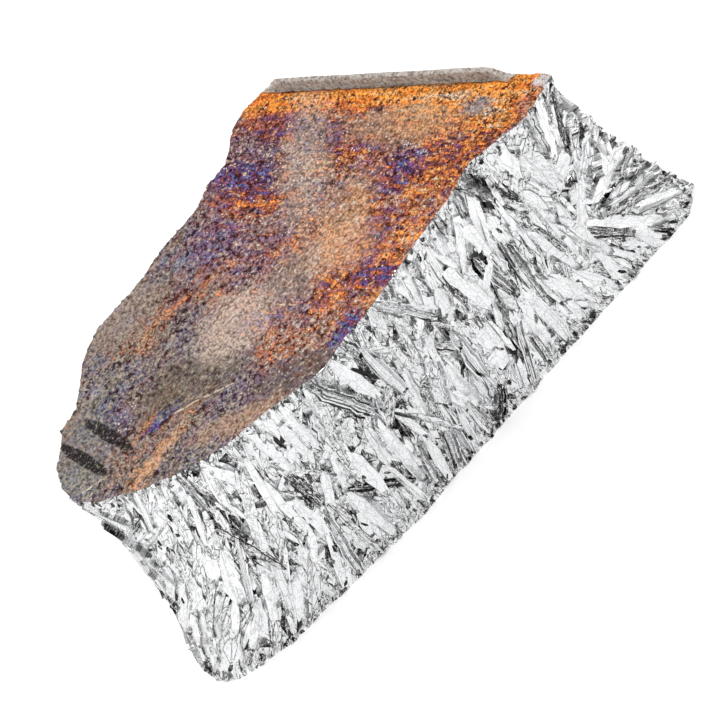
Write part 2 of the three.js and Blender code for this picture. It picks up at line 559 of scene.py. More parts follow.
    def _add_blade(
        self, s: float, z: float, half_length: float, half_width: float, habit: Habit, broad: bool = False
    ) -> None:
        """Add one elongated crystal, split along its length into strips by cleavage steps.

        Args:
            s: Its place along the band.
            z: Its height.
            half_length: Half its length.
            half_width: Half its width.
            habit: Its kind.
            broad: Whether it is one of the broad plates painted brightly lit.
        """
        draw = self.draw
        lie = LIES[habit]
        turn = draw.gauss(self.growth.angle(s, z), lie.turn)
        if not broad and draw.random() < STRAY_SHARE:
            turn += draw.choice((-1.0, 1.0)) * draw.uniform(0.35, 0.75)
        strips = {
            Habit.NEEDLE: 1,
            Habit.BLADE: draw.choice((1, 1, 2) if broad else (1, 2, 2, 3, 3, 4)),
            Habit.CORRUGATED: max(4, int(2.0 * half_width / RIDGE_WIDTH)),
        }[habit]
        stations = [x + draw.uniform(-0.09, 0.09) for x in lie.stations]
        lower = [-self._half_width_at(x, half_width) for x in stations]
        upper = [self._half_width_at(x, half_width) for x in stations]
        cuts = sorted(draw.uniform(0.08, 0.92) for _ in range(strips - 1))
        if habit is Habit.CORRUGATED:
            cuts = [(k + 1 + draw.uniform(-0.25, 0.25)) / strips for k in range(strips - 1)]
        cuts = [0.0, *cuts, 1.0]
        size = half_length / 9.0
        rank = 1.0 + draw.random() if habit is Habit.NEEDLE else 2.0 + 0.5 * (size + draw.random())
        rank = 3.1 + 0.4 * draw.random() if broad else rank
        offset = draw.gauss(*lie.offset)
        roll = draw.gauss(0.0, lie.roll)
        pitch = draw.gauss(0.0, lie.pitch)
        tone = draw.uniform(0.86, 1.0) if broad else self._tone(habit, s, z)
        stair = draw.choice((-1.0, 1.0)) * draw.uniform(0.05, 0.14)
        for k in range(strips):
            outline = self._strip_outline(stations, lower, upper, (cuts[k], cuts[k + 1]), half_length)
            flutter = 0.32 * (1 if k % 2 else -1) if habit is Habit.CORRUGATED else draw.gauss(0.0, 0.06)
            shade = min(max(draw.gauss(tone, 0.03 if broad else 0.06), 0.0), 1.0)
            self.crystals.append(
                Crystal(
                    outline=[self._place(s, z, turn, x, y) for x, y in outline],
                    centre=(s, z),
                    angle=turn,
                    rank=rank + 0.001 * k,
                    habit=habit,
                    offset=offset + stair * (k - 0.5 * strips),
                    roll=roll + flutter,
                    pitch=pitch + draw.gauss(0.0, 0.01),
                    tone=shade,
                )
            )

    def _half_width_at(self, station: float, half_width: float) -> float:
        """Draw half a blade's width at a share of its half length: less towards the ends, and ragged."""
        return half_width * (1.0 - 0.38 * abs(station) ** 2.4) * self.draw.uniform(0.66, 1.14)

    def _strip_outline(
        self,
        stations: list[float],
        lower: list[float],
        upper: list[float],
        part: Pair,
        half_length: float,
    ) -> Outline:
        """Return the outline of one strip of a blade.

        Args:
            stations: Places along the blade, as shares of its half length.
            lower: The blade's lower edge at each station.
            upper: The blade's upper edge at each station.
            part: Where the strip starts and ends, as shares of the way across.
            half_length: Half the blade's length.

        Returns:
            The outline in lengths along and across the blade.
        """
        first = -1.0 + 0.25 * self.draw.random() ** 2
        last = 1.0 - 0.25 * self.draw.random() ** 2
        low_side, high_side = (
            [(x * half_length, a + (b - a) * share) for x, a, b in zip(stations, lower, upper)]
            for share in part
        )
        reach = 0.5 * (upper[0] - lower[0]) / half_length
        tilt_first = self.draw.uniform(-1.0, 1.0) * min(reach, 0.8 * (stations[0] - first))
        tilt_last = self.draw.uniform(-1.0, 1.0) * min(reach, 0.8 * (last - stations[-1]))
        taper = self.draw.uniform(0.5, 0.9)
        start = [
            ((first + tilt_first) * half_length, taper * high_side[0][1]),
            ((first - tilt_first) * half_length, taper * low_side[0][1]),
        ]
        end = [
            ((last + tilt_last) * half_length, taper * low_side[-1][1]),
            ((last - tilt_last) * half_length, taper * high_side[-1][1]),
        ]
        return [*start, *low_side, *end, *reversed(high_side)]

    def lay_all(self) -> list[Crystal]:
        """Lay every kind of crystal, the finest matrix first.

        Returns:
            All the crystals, each with the rank that says what lies on top.
        """
        self.lay_matrix()
        self.lay_needles()
        self.lay_plates()
        self.lay_blades()
        self.lay_chill()
        return self.crystals


# ---- the band as a mesh --------------------------------------------------------


@dataclass
class Sheet:
    """A stretch of closed surface being put together: points, triangles and what each triangle shows."""

    points: list[np.ndarray] = field(default_factory=list)
    triangles: list[Triangle] = field(default_factory=list)
    surfaces: list[Surface] = field(default_factory=list)
    # On the broken faces, the tones and crevices carry painted reflection and shade.
    tones: list[float] = field(default_factory=list)
    crevices: list[float] = field(default_factory=list)
    grains: list[tuple[Pair, ...]] = field(default_factory=list)

    def add_triangle(
        self,
        corners: Triangle,
        surface: Surface,
        tone: float,
        crevice: float,
        grain: tuple[Pair, ...],
    ) -> None:
        """Add one triangle and what it shows."""
        self.triangles.append(corners)
        self.surfaces.append(surface)
        self.tones.append(tone)
        self.crevices.append(crevice)
        self.grains.append(grain)


@dataclass
class Tiling:
    """The band cut into triangles in the flat, each labelled with the crystal that shows there."""

    places: np.ndarray
    triangles: list[Triangle]
    labels: list[int]


@dataclass
class BandTiler:
    """Finds which crystal shows where, and cuts the band along the edges that show."""

    crystals: list[Crystal]
    length: float
    thickness: float
    weld: float = 0.02
    least_area: float = 0.035
    tidy_rounds: int = 3
    straightness: float = 0.045
    cast_spacing: float = 1.1

    def tile(self) -> Tiling:
        """Cut the band along every edge that shows.

        Returns:
            The tiling, with labels that index the crystals.
        """
        places, triangles, owners = self._overlay()
        labels = self._tidy_labels(places, triangles, owners)
        edges = self._showing_edges(triangles, labels)
        edges = self._straighten(places, edges)
        return self._cut(places, edges)

    def _overlay(self) -> tuple[np.ndarray, list, list[int]]:
        """Lay all outlines over one another and name the top crystal of each triangle."""
        verts, edges = [], []
        outlines = [clip_outline(crystal.outline, self.length, self.thickness) for crystal in self.crystals]
        for outline in outlines:
            first = len(verts)
            verts += [Vector(place) for place in outline]
            edges += [(first + k, first + (k + 1) % len(outline)) for k in range(len(outline))]
        out = delaunay_2d_cdt(verts, edges, [], 0, self.weld, False)
        places = np.array([tuple(v) for v in out[0]])
        centroids = places[np.array(out[2])].mean(1)
        order = np.argsort(centroids[:, 0])
        sorted_s = centroids[order, 0]
        owners = np.full(len(centroids), -1)
        for label in sorted(range(len(outlines)), key=lambda k: self.crystals[k].rank):
            if not outlines[label]:
                continue
            ring = np.array(outlines[label])
            first, last = np.searchsorted(sorted_s, (ring[:, 0].min(), ring[:, 0].max()))
            near = order[first:last]
            near = near[(centroids[near, 1] > ring[:, 1].min()) & (centroids[near, 1] < ring[:, 1].max())]
            owners[near[inside(centroids[near], ring)]] = label
        return places, out[2], owners.tolist()

    def _tidy_labels(self, places: np.ndarray, triangles: list, labels: list[int]) -> list[int]:
        """Give scraps that are too small to show to the neighbour with the longest shared edge."""
        labels = list(labels)
        pairs = edge_pairs(triangles)
        corners = places[np.array(triangles)]
        side_a = corners[:, 1] - corners[:, 0]
        side_b = corners[:, 2] - corners[:, 0]
        areas = 0.5 * np.abs(side_a[:, 0] * side_b[:, 1] - side_a[:, 1] * side_b[:, 0])
        for _ in range(self.tidy_rounds):
            parent = list(range(len(triangles)))
            for sides in pairs.values():
                if len(sides) == 2 and labels[sides[0]] == labels[sides[1]]:
                    join(parent, sides[0], sides[1])
            roots = [find(parent, k) for k in range(len(triangles))]
            size = np.bincount(roots, weights=areas, minlength=len(triangles))
            border: dict[int, dict[int, float]] = {}
            for (a, b), sides in pairs.items():
                if len(sides) < 2 or roots[sides[0]] == roots[sides[1]]:
                    continue
                length = float(np.hypot(*(places[a] - places[b])))
                for here, there in (sides, sides[::-1]):
                    if size[roots[here]] < self.least_area or labels[here] < 0:
                        share = border.setdefault(roots[here], {})
                        share[labels[there]] = share.get(labels[there], 0.0) + length
            heirs = {root: max(share, key=share.get) for root, share in border.items()}
            labels = [heirs.get(root, label) for root, label in zip(roots, labels)]
        return labels

    @staticmethod
    def _showing_edges(triangles: list, labels: list[int]) -> dict[Edge, Edge]:
        """Return each directed edge that parts two labels, with the labels on its left and right."""
        left: dict[Edge, int] = {}
        for triangle, label in zip(triangles, labels):
            for a, b in sides_of(triangle):
                left[a, b] = label
        showing = {}
        for (a, b), label in left.items():
            other = left.get((b, a), -1)
            if other != label and (b, a) not in showing:
                showing[a, b] = (label, other)
        return showing

    def _straighten(self, places: np.ndarray, edges: dict) -> list[tuple[int, int, int, int]]:
        """Join the edges between junctions into runs, and drop the corners that hardly bend.

        Args:
            places: The band places of the corners.
            edges: The directed edges that show, with the labels on their left and right.

        Returns:
            The straight edges that are left, each with its ends and the labels on its left and right.
        """
        around: dict[int, list[Edge]] = {}
        for edge in edges:
            for end in edge:
                around.setdefault(end, []).append(edge)

        def oriented(edge: Edge, start: int) -> Triangle:
            """Return the far end and the labels left and right when walking from start."""
            left, right = edges[edge]
            return (edge[1], left, right) if edge[0] == start else (edge[0], right, left)

        junctions = [v for v, touching in around.items() if len(touching) != 2 or self._on_border(places[v])]
        seen: set[Edge] = set()
        joined = []
        for start in [*junctions, *around]:
            for edge in around[start]:
                if edge in seen:
                    continue
                far, left, right = oriented(edge, start)
                seen.add(edge)
                chain = [start, far]
                while len(around[far]) == 2 and not self._on_border(places[far]) and far != start:
                    onward = next((e for e in around[far] if e not in seen), None)
                    if onward is None:
                        break
                    seen.add(onward)
                    far = oriented(onward, far)[0]
                    chain.append(far)
                kept = self._thin(places, chain)
                joined += [(a, b, left, right) for a, b in zip(kept, kept[1:])]
        return joined

    def _on_border(self, place: np.ndarray) -> bool:
        """Say whether a band place is on the band's border."""
        across = place[1] < BORDER or place[1] > self.thickness - BORDER
        return bool(across or place[0] < BORDER or place[0] > self.length - BORDER)

    def _thin(self, places: np.ndarray, chain: list[int]) -> list[int]:
        """Return a chain without the corners that lie close to the straight line past them."""
        if len(chain) < 3:
            return chain
        if chain[0] == chain[-1]:
            middle = len(chain) // 2
            return self._thin(places, chain[: middle + 1]) + self._thin(places, chain[middle:])[1:]
        start, end = places[chain[0]], places[chain[-1]]
        run = end - start
        away = places[chain[1:-1]] - start
        bend = np.abs(away[:, 0] * run[1] - away[:, 1] * run[0]) / max(float(np.hypot(*run)), TINY)
        worst = int(bend.argmax())
        if bend[worst] < self.straightness:
            return [chain[0], chain[-1]]
        cut = worst + 1
        return self._thin(places, chain[: cut + 1]) + self._thin(places, chain[cut:])[1:]

    def _cut(self, places: np.ndarray, edges: list[tuple[int, int, int, int]]) -> Tiling:
        """Cut the band along the straightened edges and carry the labels over."""
        used = sorted({e[0] for e in edges} | {e[1] for e in edges})
        index = {old: new for new, old in enumerate(used)}
        verts = [Vector(places[old]) for old in used]
        cuts = [(index[a], index[b]) for a, b, _, _ in edges]
        verts += [Vector(p) for p in self._cast_points()]
        out = delaunay_2d_cdt(verts, cuts, [], 0, 0.5 * self.weld, True)
        new_places = np.array([tuple(v) for v in out[0]])
        half: dict[Edge, int] = {}
        for (a, b), sources in zip(out[1], out[4]):
            if not sources:
                continue
            u, v, left, right = edges[sources[0]]
            same = float((new_places[b] - new_places[a]) @ (places[v] - places[u])) > 0.0
            half[a, b] = left if same else right
            half[b, a] = right if same else left
        triangles = [tuple(t) for t in out[2] if not self._lies_on_border(new_places[list(t)])]
        labels = [-1] * len(triangles)
        pairs = edge_pairs(triangles)
        queue = []
        for k, triangle in enumerate(triangles):
            for a, b in sides_of(triangle):
                if (a, b) in half and half[a, b] >= 0:
                    labels[k] = half[a, b]
                    queue.append(k)
                    break
        while queue:
            k = queue.pop()
            triangle = triangles[k]
            for a, b in sides_of(triangle):
                if (a, b) in half:
                    continue
                for other in pairs[min(a, b), max(a, b)]:
                    if labels[other] < 0:
                        labels[other] = labels[k]
                        queue.append(other)
        return Tiling(new_places, triangles, labels)

    def _lies_on_border(self, corners: np.ndarray) -> bool:
        """Say whether a triangle has no area because its corners all lie on one side of the band."""
        s, z = corners[:, 0], corners[:, 1]
        on_end = bool((s < BORDER).all() or (s > self.length - BORDER).all())
        return on_end or bool((z < BORDER).all() or (z > self.thickness - BORDER).all())

    def _cast_points(self) -> Outline:
        """Return free points on the cast wall, the same at both sides of the seam."""
        rows = int(round(self.thickness / self.cast_spacing))
        heights = [self.thickness * k / rows for k in range(rows + 1)]
        points = []
        for crystal in self.crystals:
            if crystal.habit is not Habit.CAST:
                continue
            seam = 0.0 if crystal.centre[0] < 0.5 * self.length else self.length
            ends = [s for s, _ in crystal.outline]
            reach = (max(ends) if seam == 0.0 else min(ends)) - seam
            inner = reach - math.copysign(1.6, reach)
            columns = int(abs(inner) / self.cast_spacing)
            for i in range(columns + 1):
                for height in heights:
                    points.append((seam + inner * i / columns, height))
        return points


def clip_outline(outline: Outline, length: float, thickness: float) -> Outline:
    """Return the part of a convex outline that lies inside the band."""
    for axis, limit, side in ((0, 0.0, 1.0), (0, length, -1.0), (1, 0.0, 1.0), (1, thickness, -1.0)):
        kept = []
        for here, after in zip(outline, outline[1:] + outline[:1]):
            depth_here = side * (here[axis] - limit)
            depth_after = side * (after[axis] - limit)
            if depth_here >= 0.0:
                kept.append(here)
            if (depth_here < 0.0) != (depth_after < 0.0):
                share = depth_here / (depth_here - depth_after)
                kept.append(tuple(a + (b - a) * share for a, b in zip(here, after)))
        outline = kept
    return outline


def sides_of(triangle: Triangle) -> tuple[Edge, ...]:
    """Return the three directed edges of a triangle."""
    a, b, c = triangle
    return (a, b), (b, c), (c, a)


def edge_pairs(triangles: list) -> dict[Edge, list[int]]:
    """Return the triangles on the two sides of each edge."""
    pairs: dict[Edge, list[int]] = {}
    for k, triangle in enumerate(triangles):
        for u, v in sides_of(triangle):
            pairs.setdefault((u, v) if u < v else (v, u), []).append(k)
    return pairs


def find(parent: list[int], item: int) -> int:
    """Return the root of an item's group."""
    while parent[item] != item:
        parent[item] = parent[parent[item]]
        item = parent[item]
    return item


def join(parent: list[int], a: int, b: int) -> None:
    """Put two items in one group."""
    root_a, root_b = find(parent, a), find(parent, b)
    if root_a != root_b:
        parent[root_b] = root_a


@dataclass
class Copy:
    """One crystal's own copy of a shared corner of the tiling, drawn in a little from its edges."""

    label: int
    place: np.ndarray


@dataclass
class BrokenBand:
    """Raises the flat tiling into the chunk's side: flat plates with steep steps between them."""

    form: CastForm
    crystals: list[Crystal]
    tiling: Tiling
    thickness: float
    shadow: Callable[[float, float], float]
    step_width: float = 0.05
    # a step this deep, in millimetres, gets its full painted shade
    deep_step: float = 0.24
    wall_ripple: float = 0.12
    rim_pull: float = 0.6
    relief_limit: float = 1.1
    grain_shift: float = 17.0
    grain_shifts: int = 97
    # faces painted darker than this tone get the heavier painted shade in the deep places
    painted_dark_below: float = 0.5

    def build(self, sheet: Sheet) -> None:
        """Add the whole side to the sheet.

        Args:
            sheet: The surface that takes the points and triangles.
        """
        self.copies: list[Copy] = []
        self.own = [[-1, -1, -1] for _ in self.tiling.triangles]
        self.rings: list[list[int]] = []
        self._part_corners()
        self.points = self._raise_copies()
        self.index = self._merge_seam(len(sheet.points))
        sheet.points.extend(self.points)
        self._add_plates(sheet)
        self._add_steps(sheet)
        self._add_knots(sheet)

    def _part_corners(self) -> None:
        """Give each crystal its own copy of every corner that it shares."""
        fans: dict[int, dict[int, Triangle]] = {}
        for k, (a, b, c) in enumerate(self.tiling.triangles):
            for i, (v, first, last) in enumerate(((a, b, c), (b, c, a), (c, a, b))):
                fans.setdefault(v, {})[first] = (k, i, last)
        for vertex, fan in fans.items():
            self._part_vertex(vertex, fan)

    def _part_vertex(self, vertex: int, fan: dict[int, Triangle]) -> None:
        """Split the triangles round one vertex into runs of one label, with a copy for each run."""
        ends = {last for _, _, last in fan.values()}
        open_starts = [first for first in fan if first not in ends]
        closed = not open_starts
        start = open_starts[0] if open_starts else next(iter(fan))
        order = []
        first = start
        while first in fan and len(order) < len(fan):
            k, i, last = fan[first]
            order.append((first, last, k, i, self.tiling.labels[k]))
            first = last
        if closed:
            turns = [n for n in range(len(order)) if order[n][4] != order[n - 1][4]]
            if turns:
                order = order[turns[0] :] + order[: turns[0]]
        runs: list[list] = []
        for item in order:
            if runs and runs[-1][-1][4] == item[4]:
                runs[-1].append(item)
            else:
                runs.append([item])
        ring = []
        for n, run in enumerate(runs):
            cut_first = len(runs) > 1 and (closed or n > 0)
            cut_last = len(runs) > 1 and (closed or n < len(runs) - 1)
            place = self._draw_in(vertex, run[0][0], run[-1][1], cut_first, cut_last)
            for _, _, k, i, _ in run:
                self.own[k][i] = len(self.copies)
            ring.append(len(self.copies))
            self.copies.append(Copy(run[0][4], place))
        self.rings.append(ring)

    def _draw_in(self, vertex: int, first: int, last: int, cut_first: bool, cut_last: bool) -> np.ndarray:
        """Return a corner's place, moved in from those of its two edges that show.

        Args:
            vertex: The corner.
            first: The far end of the edge that the sector starts at.
            last: The far end of the edge that the sector ends at.
            cut_first: Whether the first edge parts two crystals.
            cut_last: Whether the last edge parts two crystals.

        Returns:
            The place of the copy in the band.
        """
        here = self.tiling.places[vertex]
        if not (cut_first or cut_last):
            return here
        u = self.tiling.places[first] - here
        v = self.tiling.places[last] - here
        length_u, length_v = float(np.hypot(*u)), float(np.hypot(*v))
        u, v = u / length_u, v / length_v
        inward_u = np.array([-u[1], u[0]])
        inward_v = np.array([v[1], -v[0]])
        width = min(self.step_width, 0.3 * length_u, 0.3 * length_v)
        shift_u, shift_v = width * cut_first, width * cut_last
        turn = float(inward_u[0] * inward_v[1] - inward_u[1] * inward_v[0])
        if abs(turn) < 0.3:
            shift = 0.5 * (inward_u * shift_u + inward_v * shift_v)
            if float(inward_u @ inward_v) < 0.0:
                shift = (u + v) * width
        else:
            along_u, along_v = np.array([inward_u[1], -inward_u[0]]), np.array([inward_v[1], -inward_v[0]])
            shift = (shift_u * along_v - shift_v * along_u) / turn
        size = float(np.hypot(*shift))
        limit = min(2.2 * width, 0.45 * length_u, 0.45 * length_v)
        if size > limit:
            shift = shift * (limit / size)
        place = here + shift
        place[1] = min(max(place[1], 0.0), self.thickness)
        return place

    def _raise_copies(self) -> list[np.ndarray]:
        """Return each copy's point in space: on its crystal's own plane, or on the rippled cast wall."""
        places = np.array([c.place for c in self.copies])
        groups: dict[int, list[int]] = {}
        for n, copy in enumerate(self.copies):
            groups.setdefault(copy.label, []).append(n)
        points = np.zeros((len(places), 3))
        for label, members in groups.items():
            crystal = self.crystals[label]
            chosen = places[members]
            if crystal.habit is Habit.CAST:
                points[members] = self._cast_points(chosen)
            else:
                points[members] = self._plane_points(crystal, chosen)
        rim = self.form.point(places[:, 0], np.ones(len(places)))[:, 2]
        at_foot = places[:, 1] < BORDER
        at_top = places[:, 1] > self.thickness - BORDER
        points[at_top, 2] = rim[at_top]
        points[at_foot, 2] = 0.0
        on_rim = at_foot | at_top
        on_form = self.form.point(places[on_rim, 0], places[on_rim, 1] / self.thickness)
        points[on_rim, :2] += self.rim_pull * (on_form[:, :2] - points[on_rim, :2])
        inset = 0.01
        points[:, :2] = np.clip(points[:, :2], self.form.low[:2] + inset, self.form.high[:2] - inset)
        points[:, 2] = np.clip(points[:, 2], 0.0, rim)
        return list(points)

    def _cast_points(self, places: np.ndarray) -> np.ndarray:
        """Return points of the cast wall, with the shallow laps that the metal froze in."""
        t = places[:, 1] / self.thickness
        points = self.form.point(places[:, 0], t)
        outward = self.form.outward(places[:, 0], t)
        ripple = [lap_height(point) for point in points]
        fade = np.clip(4.0 * np.minimum(t, 1.0 - t), 0.0, 1.0)
        return points + outward * (self.wall_ripple * np.array(ripple) * fade - self.wall_ripple)[:, None]

    def _plane_points(self, crystal: Crystal, places: np.ndarray) -> np.ndarray:
        """Return points on a crystal's plane: the plane that fits the form best there, tilted and shifted."""
        outline = np.array([*crystal.outline, crystal.centre])
        outline[:, 1] = np.clip(outline[:, 1], 0.0, self.thickness)
        target = self.form.point(outline[:, 0], outline[:, 1] / self.thickness)
        middle = outline.mean(0)
        design = np.column_stack([outline - middle, np.ones(len(outline))])
        fit = np.linalg.lstsq(design, target, rcond=None)[0]
        flat = np.column_stack([places - middle, np.ones(len(places))]) @ fit
        normal = np.cross(fit[0], fit[1])
        normal /= np.linalg.norm(normal)
        on_form = self.form.point(places[:, 0], places[:, 1] / self.thickness)
        away = flat + normal * crystal.height(places)[:, None] - on_form
        size = np.linalg.norm(away, axis=1)
        return on_form + away * np.minimum(1.0, self.relief_limit / np.maximum(size, TINY))[:, None]

    def _merge_seam(self, first: int) -> list[int]:
        """Return the sheet index of each copy, with the two sides of the seam made one."""
        index = [first + n for n in range(len(self.copies))]
        seam = {}
        for n, copy in enumerate(self.copies):
            if copy.place[0] < BORDER:
                seam[round(float(copy.place[1]), 3)] = n
        for n, copy in enumerate(self.copies):
            if copy.place[0] > self.form.length - BORDER:
                index[n] = index[seam[round(float(copy.place[1]), 3)]]
        return index

    def _add_plates(self, sheet: Sheet) -> None:
        """Add the flat plates themselves, with painted shade on those in the deep places, heaviest on the
        faces painted dark.
        """
        # gloom: painted shade on the plates in the deep places, carried in the crevice attribute
        gloom = {}
        for label in set(self.tiling.labels):
            crystal = self.crystals[label]
            depth = 0.0 if crystal.habit is Habit.CAST else max(0.0, 2.0 * self.shadow(*crystal.centre) - 1.0)
            gloom[label] = depth * (0.65 if crystal.tone < self.painted_dark_below else 0.42)
        for corners, label in zip(self.own, self.tiling.labels):
            crystal = self.crystals[label]
            surface = Surface.CAST if crystal.habit is Habit.CAST else Surface.FRACTURE
            grain = crystal.grain(np.array([self.copies[n].place for n in corners]))
            shift = self.grain_shift * (label % self.grain_shifts)
            ids = tuple(self.index[n] for n in corners)
            lines = tuple((g[0] + shift, g[1] + 0.5 * shift) for g in grain)
            sheet.add_triangle(ids, surface, crystal.tone, gloom[label], lines)

    def _add_steps(self, sheet: Sheet) -> None:
        """Add the steep steps along each edge that parts two crystals."""
        side: dict[Edge, Triangle] = {}
        for k, triangle in enumerate(self.tiling.triangles):
            for i in range(3):
                j = (i + 1) % 3
                side[triangle[i], triangle[j]] = (k, self.own[k][i], self.own[k][j])
        for (a, b), (k, left_a, left_b) in side.items():
            if a > b or (b, a) not in side:
                continue
            other, right_b, right_a = side[b, a]
            if self.tiling.labels[k] == self.tiling.labels[other]:
                continue
            drop = max(self._gap(left_a, right_a), self._gap(left_b, right_b))
            labels = (self.tiling.labels[k], self.tiling.labels[other])
            self._add_polygon(sheet, [right_a, right_b, left_b, left_a], drop, labels)

    def untangle(self, sheet: Sheet, rim: list[int], reach: int = 14, rounds: int = 12) -> None:
        """Pull the points of a rim back towards the form wherever the rim crosses itself.

        Args:
            sheet: The surface that has the rim.
            rim: The rim's points in order.
            reach: How many points apart two crossing edges may be.
            rounds: How often to try.
        """
        places = {number: copy.place for number, copy in zip(self.index, self.copies)}
        count = len(rim)
        for _ in range(rounds):
            tangled = set()
            for i in range(count):
                a, b = sheet.points[rim[i]], sheet.points[rim[(i + 1) % count]]
                for step in range(2, reach):
                    j = (i + step) % count
                    if crosses(a, b, sheet.points[rim[j]], sheet.points[rim[(j + 1) % count]]):
                        tangled.update((i + k) % count for k in range(step + 2))
            if not tangled:
                return
            for i in tangled:
                place = places[rim[i]]
                on_form = self.form.point(place[:1], place[1:] / self.thickness)[0]
                sheet.points[rim[i]] = 0.5 * (sheet.points[rim[i]] + on_form)
        LOG.warning("a rim still crosses itself")

    def _gap(self, a: int, b: int) -> float:
        """Return the distance between two copies."""
        return float(np.linalg.norm(self.points[a] - self.points[b]))

    def _add_knots(self, sheet: Sheet) -> None:
        """Close the small holes where three or more crystals meet."""
        for ring in self.rings:
            if len(ring) > 2:
                drop = max(self._gap(a, b) for a, b in zip(ring, ring[1:] + ring[:1]))
                labels = tuple(self.copies[n].label for n in ring)
                self._add_polygon(sheet, ring, drop, labels)

    def _add_polygon(self, sheet: Sheet, ring: list[int], drop: float, labels: tuple[int, ...]) -> None:
        """Add a small polygon of step, as a fan of triangles, with painted shade that is darker where the
        step drops further and the break is deeper, and varies at random from step to step.

        Args:
            sheet: The surface that takes the triangles.
            ring: The copies round the polygon.
            drop: The height of the step in millimetres.
            labels: The crystals that meet there.
        """
        tone = sum(self.crystals[label].tone for label in labels) / len(labels)
        s, z = self.copies[ring[0]].place
        # The painted shade of the step: heavier where the break is deep and the drop is large.
        torn = 0.55 + 0.45 * self.shadow(float(s), float(z))
        sharpness = random.Random(sum(labels)).uniform(0.15, 1.0)
        crevice = torn * sharpness * min(1.0, drop / self.deep_step)
        for b, c in zip(ring[1:], ring[2:]):
            ids = (self.index[ring[0]], self.index[b], self.index[c])
            grain = tuple(tuple(3.0 * x for x in self.copies[n].place) for n in (ring[0], b, c))
            sheet.add_triangle(ids, Surface.FRACTURE, tone, crevice, grain)


def crosses(a: np.ndarray, b: np.ndarray, c: np.ndarray, d: np.ndarray) -> bool:
    """Say whether the plans of the edges a-b and c-d cross."""

    def side(p: np.ndarray, q: np.ndarray, r: np.ndarray) -> float:
        """Return which side of p-q the point r lies on."""
        return float((q[0] - p[0]) * (r[1] - p[1]) - (q[1] - p[1]) * (r[0] - p[0]))

    return side(a, b, c) * side(a, b, d) < 0.0 and side(c, d, a) * side(c, d, b) < 0.0


def lap_height(point: np.ndarray) -> float:
    """Return the height, about -1 to 1, of the laps and dimples that a cast wall froze with."""
    laps = noise.noise(Vector((0.05 * point[0], 0.05 * point[1], 0.42 * point[2])))
    dimples = noise.noise(Vector(point * 0.55))
    return float(1.1 * laps + 0.7 * dimples)


# ---- top and bottom ------------------------------------------------------------


def open_loops(triangles: list[Triangle]) -> list[list[int]]:
    """Return each loop of edges with a triangle on one side only, walked with the hole on the left."""
    edges = {edge: True for triangle in triangles for edge in sides_of(triangle)}
    following = {v: u for u, v in edges if (v, u) not in edges}
    loops = []
    while following:
        start, here = next(iter(following.items()))
        loop = [start]
        del following[start]
        while here != start:
            loop.append(here)
            here = following.pop(here)
        loops.append(loop)
    return loops


def inside(points: np.ndarray, ring: np.ndarray) -> np.ndarray:
    """Say which plan points lie inside a closed ring."""
    x, y = points[:, 0], points[:, 1]
    found = np.zeros(len(points), bool)
    for (ax, ay), (bx, by) in zip(ring, np.roll(ring, -1, axis=0)):
        if ay == by:
            continue
        crossing = ((ay > y) != (by > y)) & (x < (bx - ax) * (y - ay) / (by - ay) + ax)
        found ^= crossing
    return found


def distance_to(points: np.ndarray, starts: np.ndarray, ends: np.ndarray) -> np.ndarray:
    """Return each plan point's distance from the nearest of the edges between starts and ends."""
    best = np.full(len(points), np.inf)
    for a, b in zip(starts, ends):
        run = b - a
        share = np.clip(((points - a) @ run) / max(float(run @ run), TINY), 0.0, 1.0)
        away = points - a - share[:, None] * run
        best = np.minimum(best, (away**2).sum(1))
    return np.sqrt(best)


def scattered_grid(form: CastForm, spacing: float, jitter: float, seed: int) -> np.ndarray:
    """Return plan points over the form's box, each moved at random by up to a share of the spacing."""
    draw = np.random.default_rng(seed)
    low, high = form.low[:2], form.high[:2]
    x, y = np.meshgrid(np.arange(low[0], high[0], spacing), np.arange(low[1], high[1], spacing))
    plan = np.column_stack([x.ravel(), y.ravel()])
    return plan + draw.uniform(-jitter, jitter, plan.shape) * spacing


@dataclass
class Cap:
    """Closes one open rim with a relief of free points."""

    rim_gap: float = 0.28
    weld: float = 1e-7

    def close(self, sheet: Sheet, rim: list[int], free: np.ndarray, surface: Surface) -> None:
        """Close a rim.

        Args:
            sheet: The surface that has the rim and takes the cap.
            rim: The rim's points, anticlockwise as seen from outside the chunk.
            free: The free points of the relief, of which those inside the rim are used.
            surface: What the cap shows.
        """
        ring = np.array([sheet.points[n] for n in rim])
        clearance = distance_to(free[:, :2], ring[:, :2], np.roll(ring[:, :2], -1, axis=0))
        free = free[inside(free[:, :2], ring[:, :2]) & (clearance > self.rim_gap)]
        flip = self._turn(ring[:, :2]) < 0.0
        verts = [Vector(p[:2]) for p in ring] + [Vector(p[:2]) for p in free]
        edges = [(n, (n + 1) % len(rim)) for n in range(len(rim))]
        out = delaunay_2d_cdt(verts, edges, [], 0, self.weld, True)
        places = np.array([tuple(v) for v in out[0]])
        within = inside(places[np.array(out[2])].mean(1), ring[:, :2])
        first = len(sheet.points)
        sheet.points.extend(list(free))
        index = []
        for place, sources in zip(out[0], out[3]):
            if sources:
                source = sources[0]
                index.append(rim[source] if source < len(rim) else first + source - len(rim))
            else:
                LOG.warning("the rim crosses itself near %.2f, %.2f", *place)
                nearest = int(np.hypot(*(ring[:, :2] - np.array(place)).T).argmin())
                index.append(rim[nearest])
        for (a, b, c), kept in zip(out[2], within):
            if not kept:
                continue
            ids = (index[a], index[c], index[b]) if flip else (index[a], index[b], index[c])
            grain = tuple((float(sheet.points[n][0]), float(sheet.points[n][1])) for n in ids)
            sheet.add_triangle(ids, surface, 1.0, 0.0, grain)

    @staticmethod
    def _turn(ring: np.ndarray) -> float:
        """Return twice the signed area of a ring."""
        after = np.roll(ring, -1, axis=0)
        return float((ring[:, 0] * after[:, 1] - after[:, 0] * ring[:, 1]).sum())


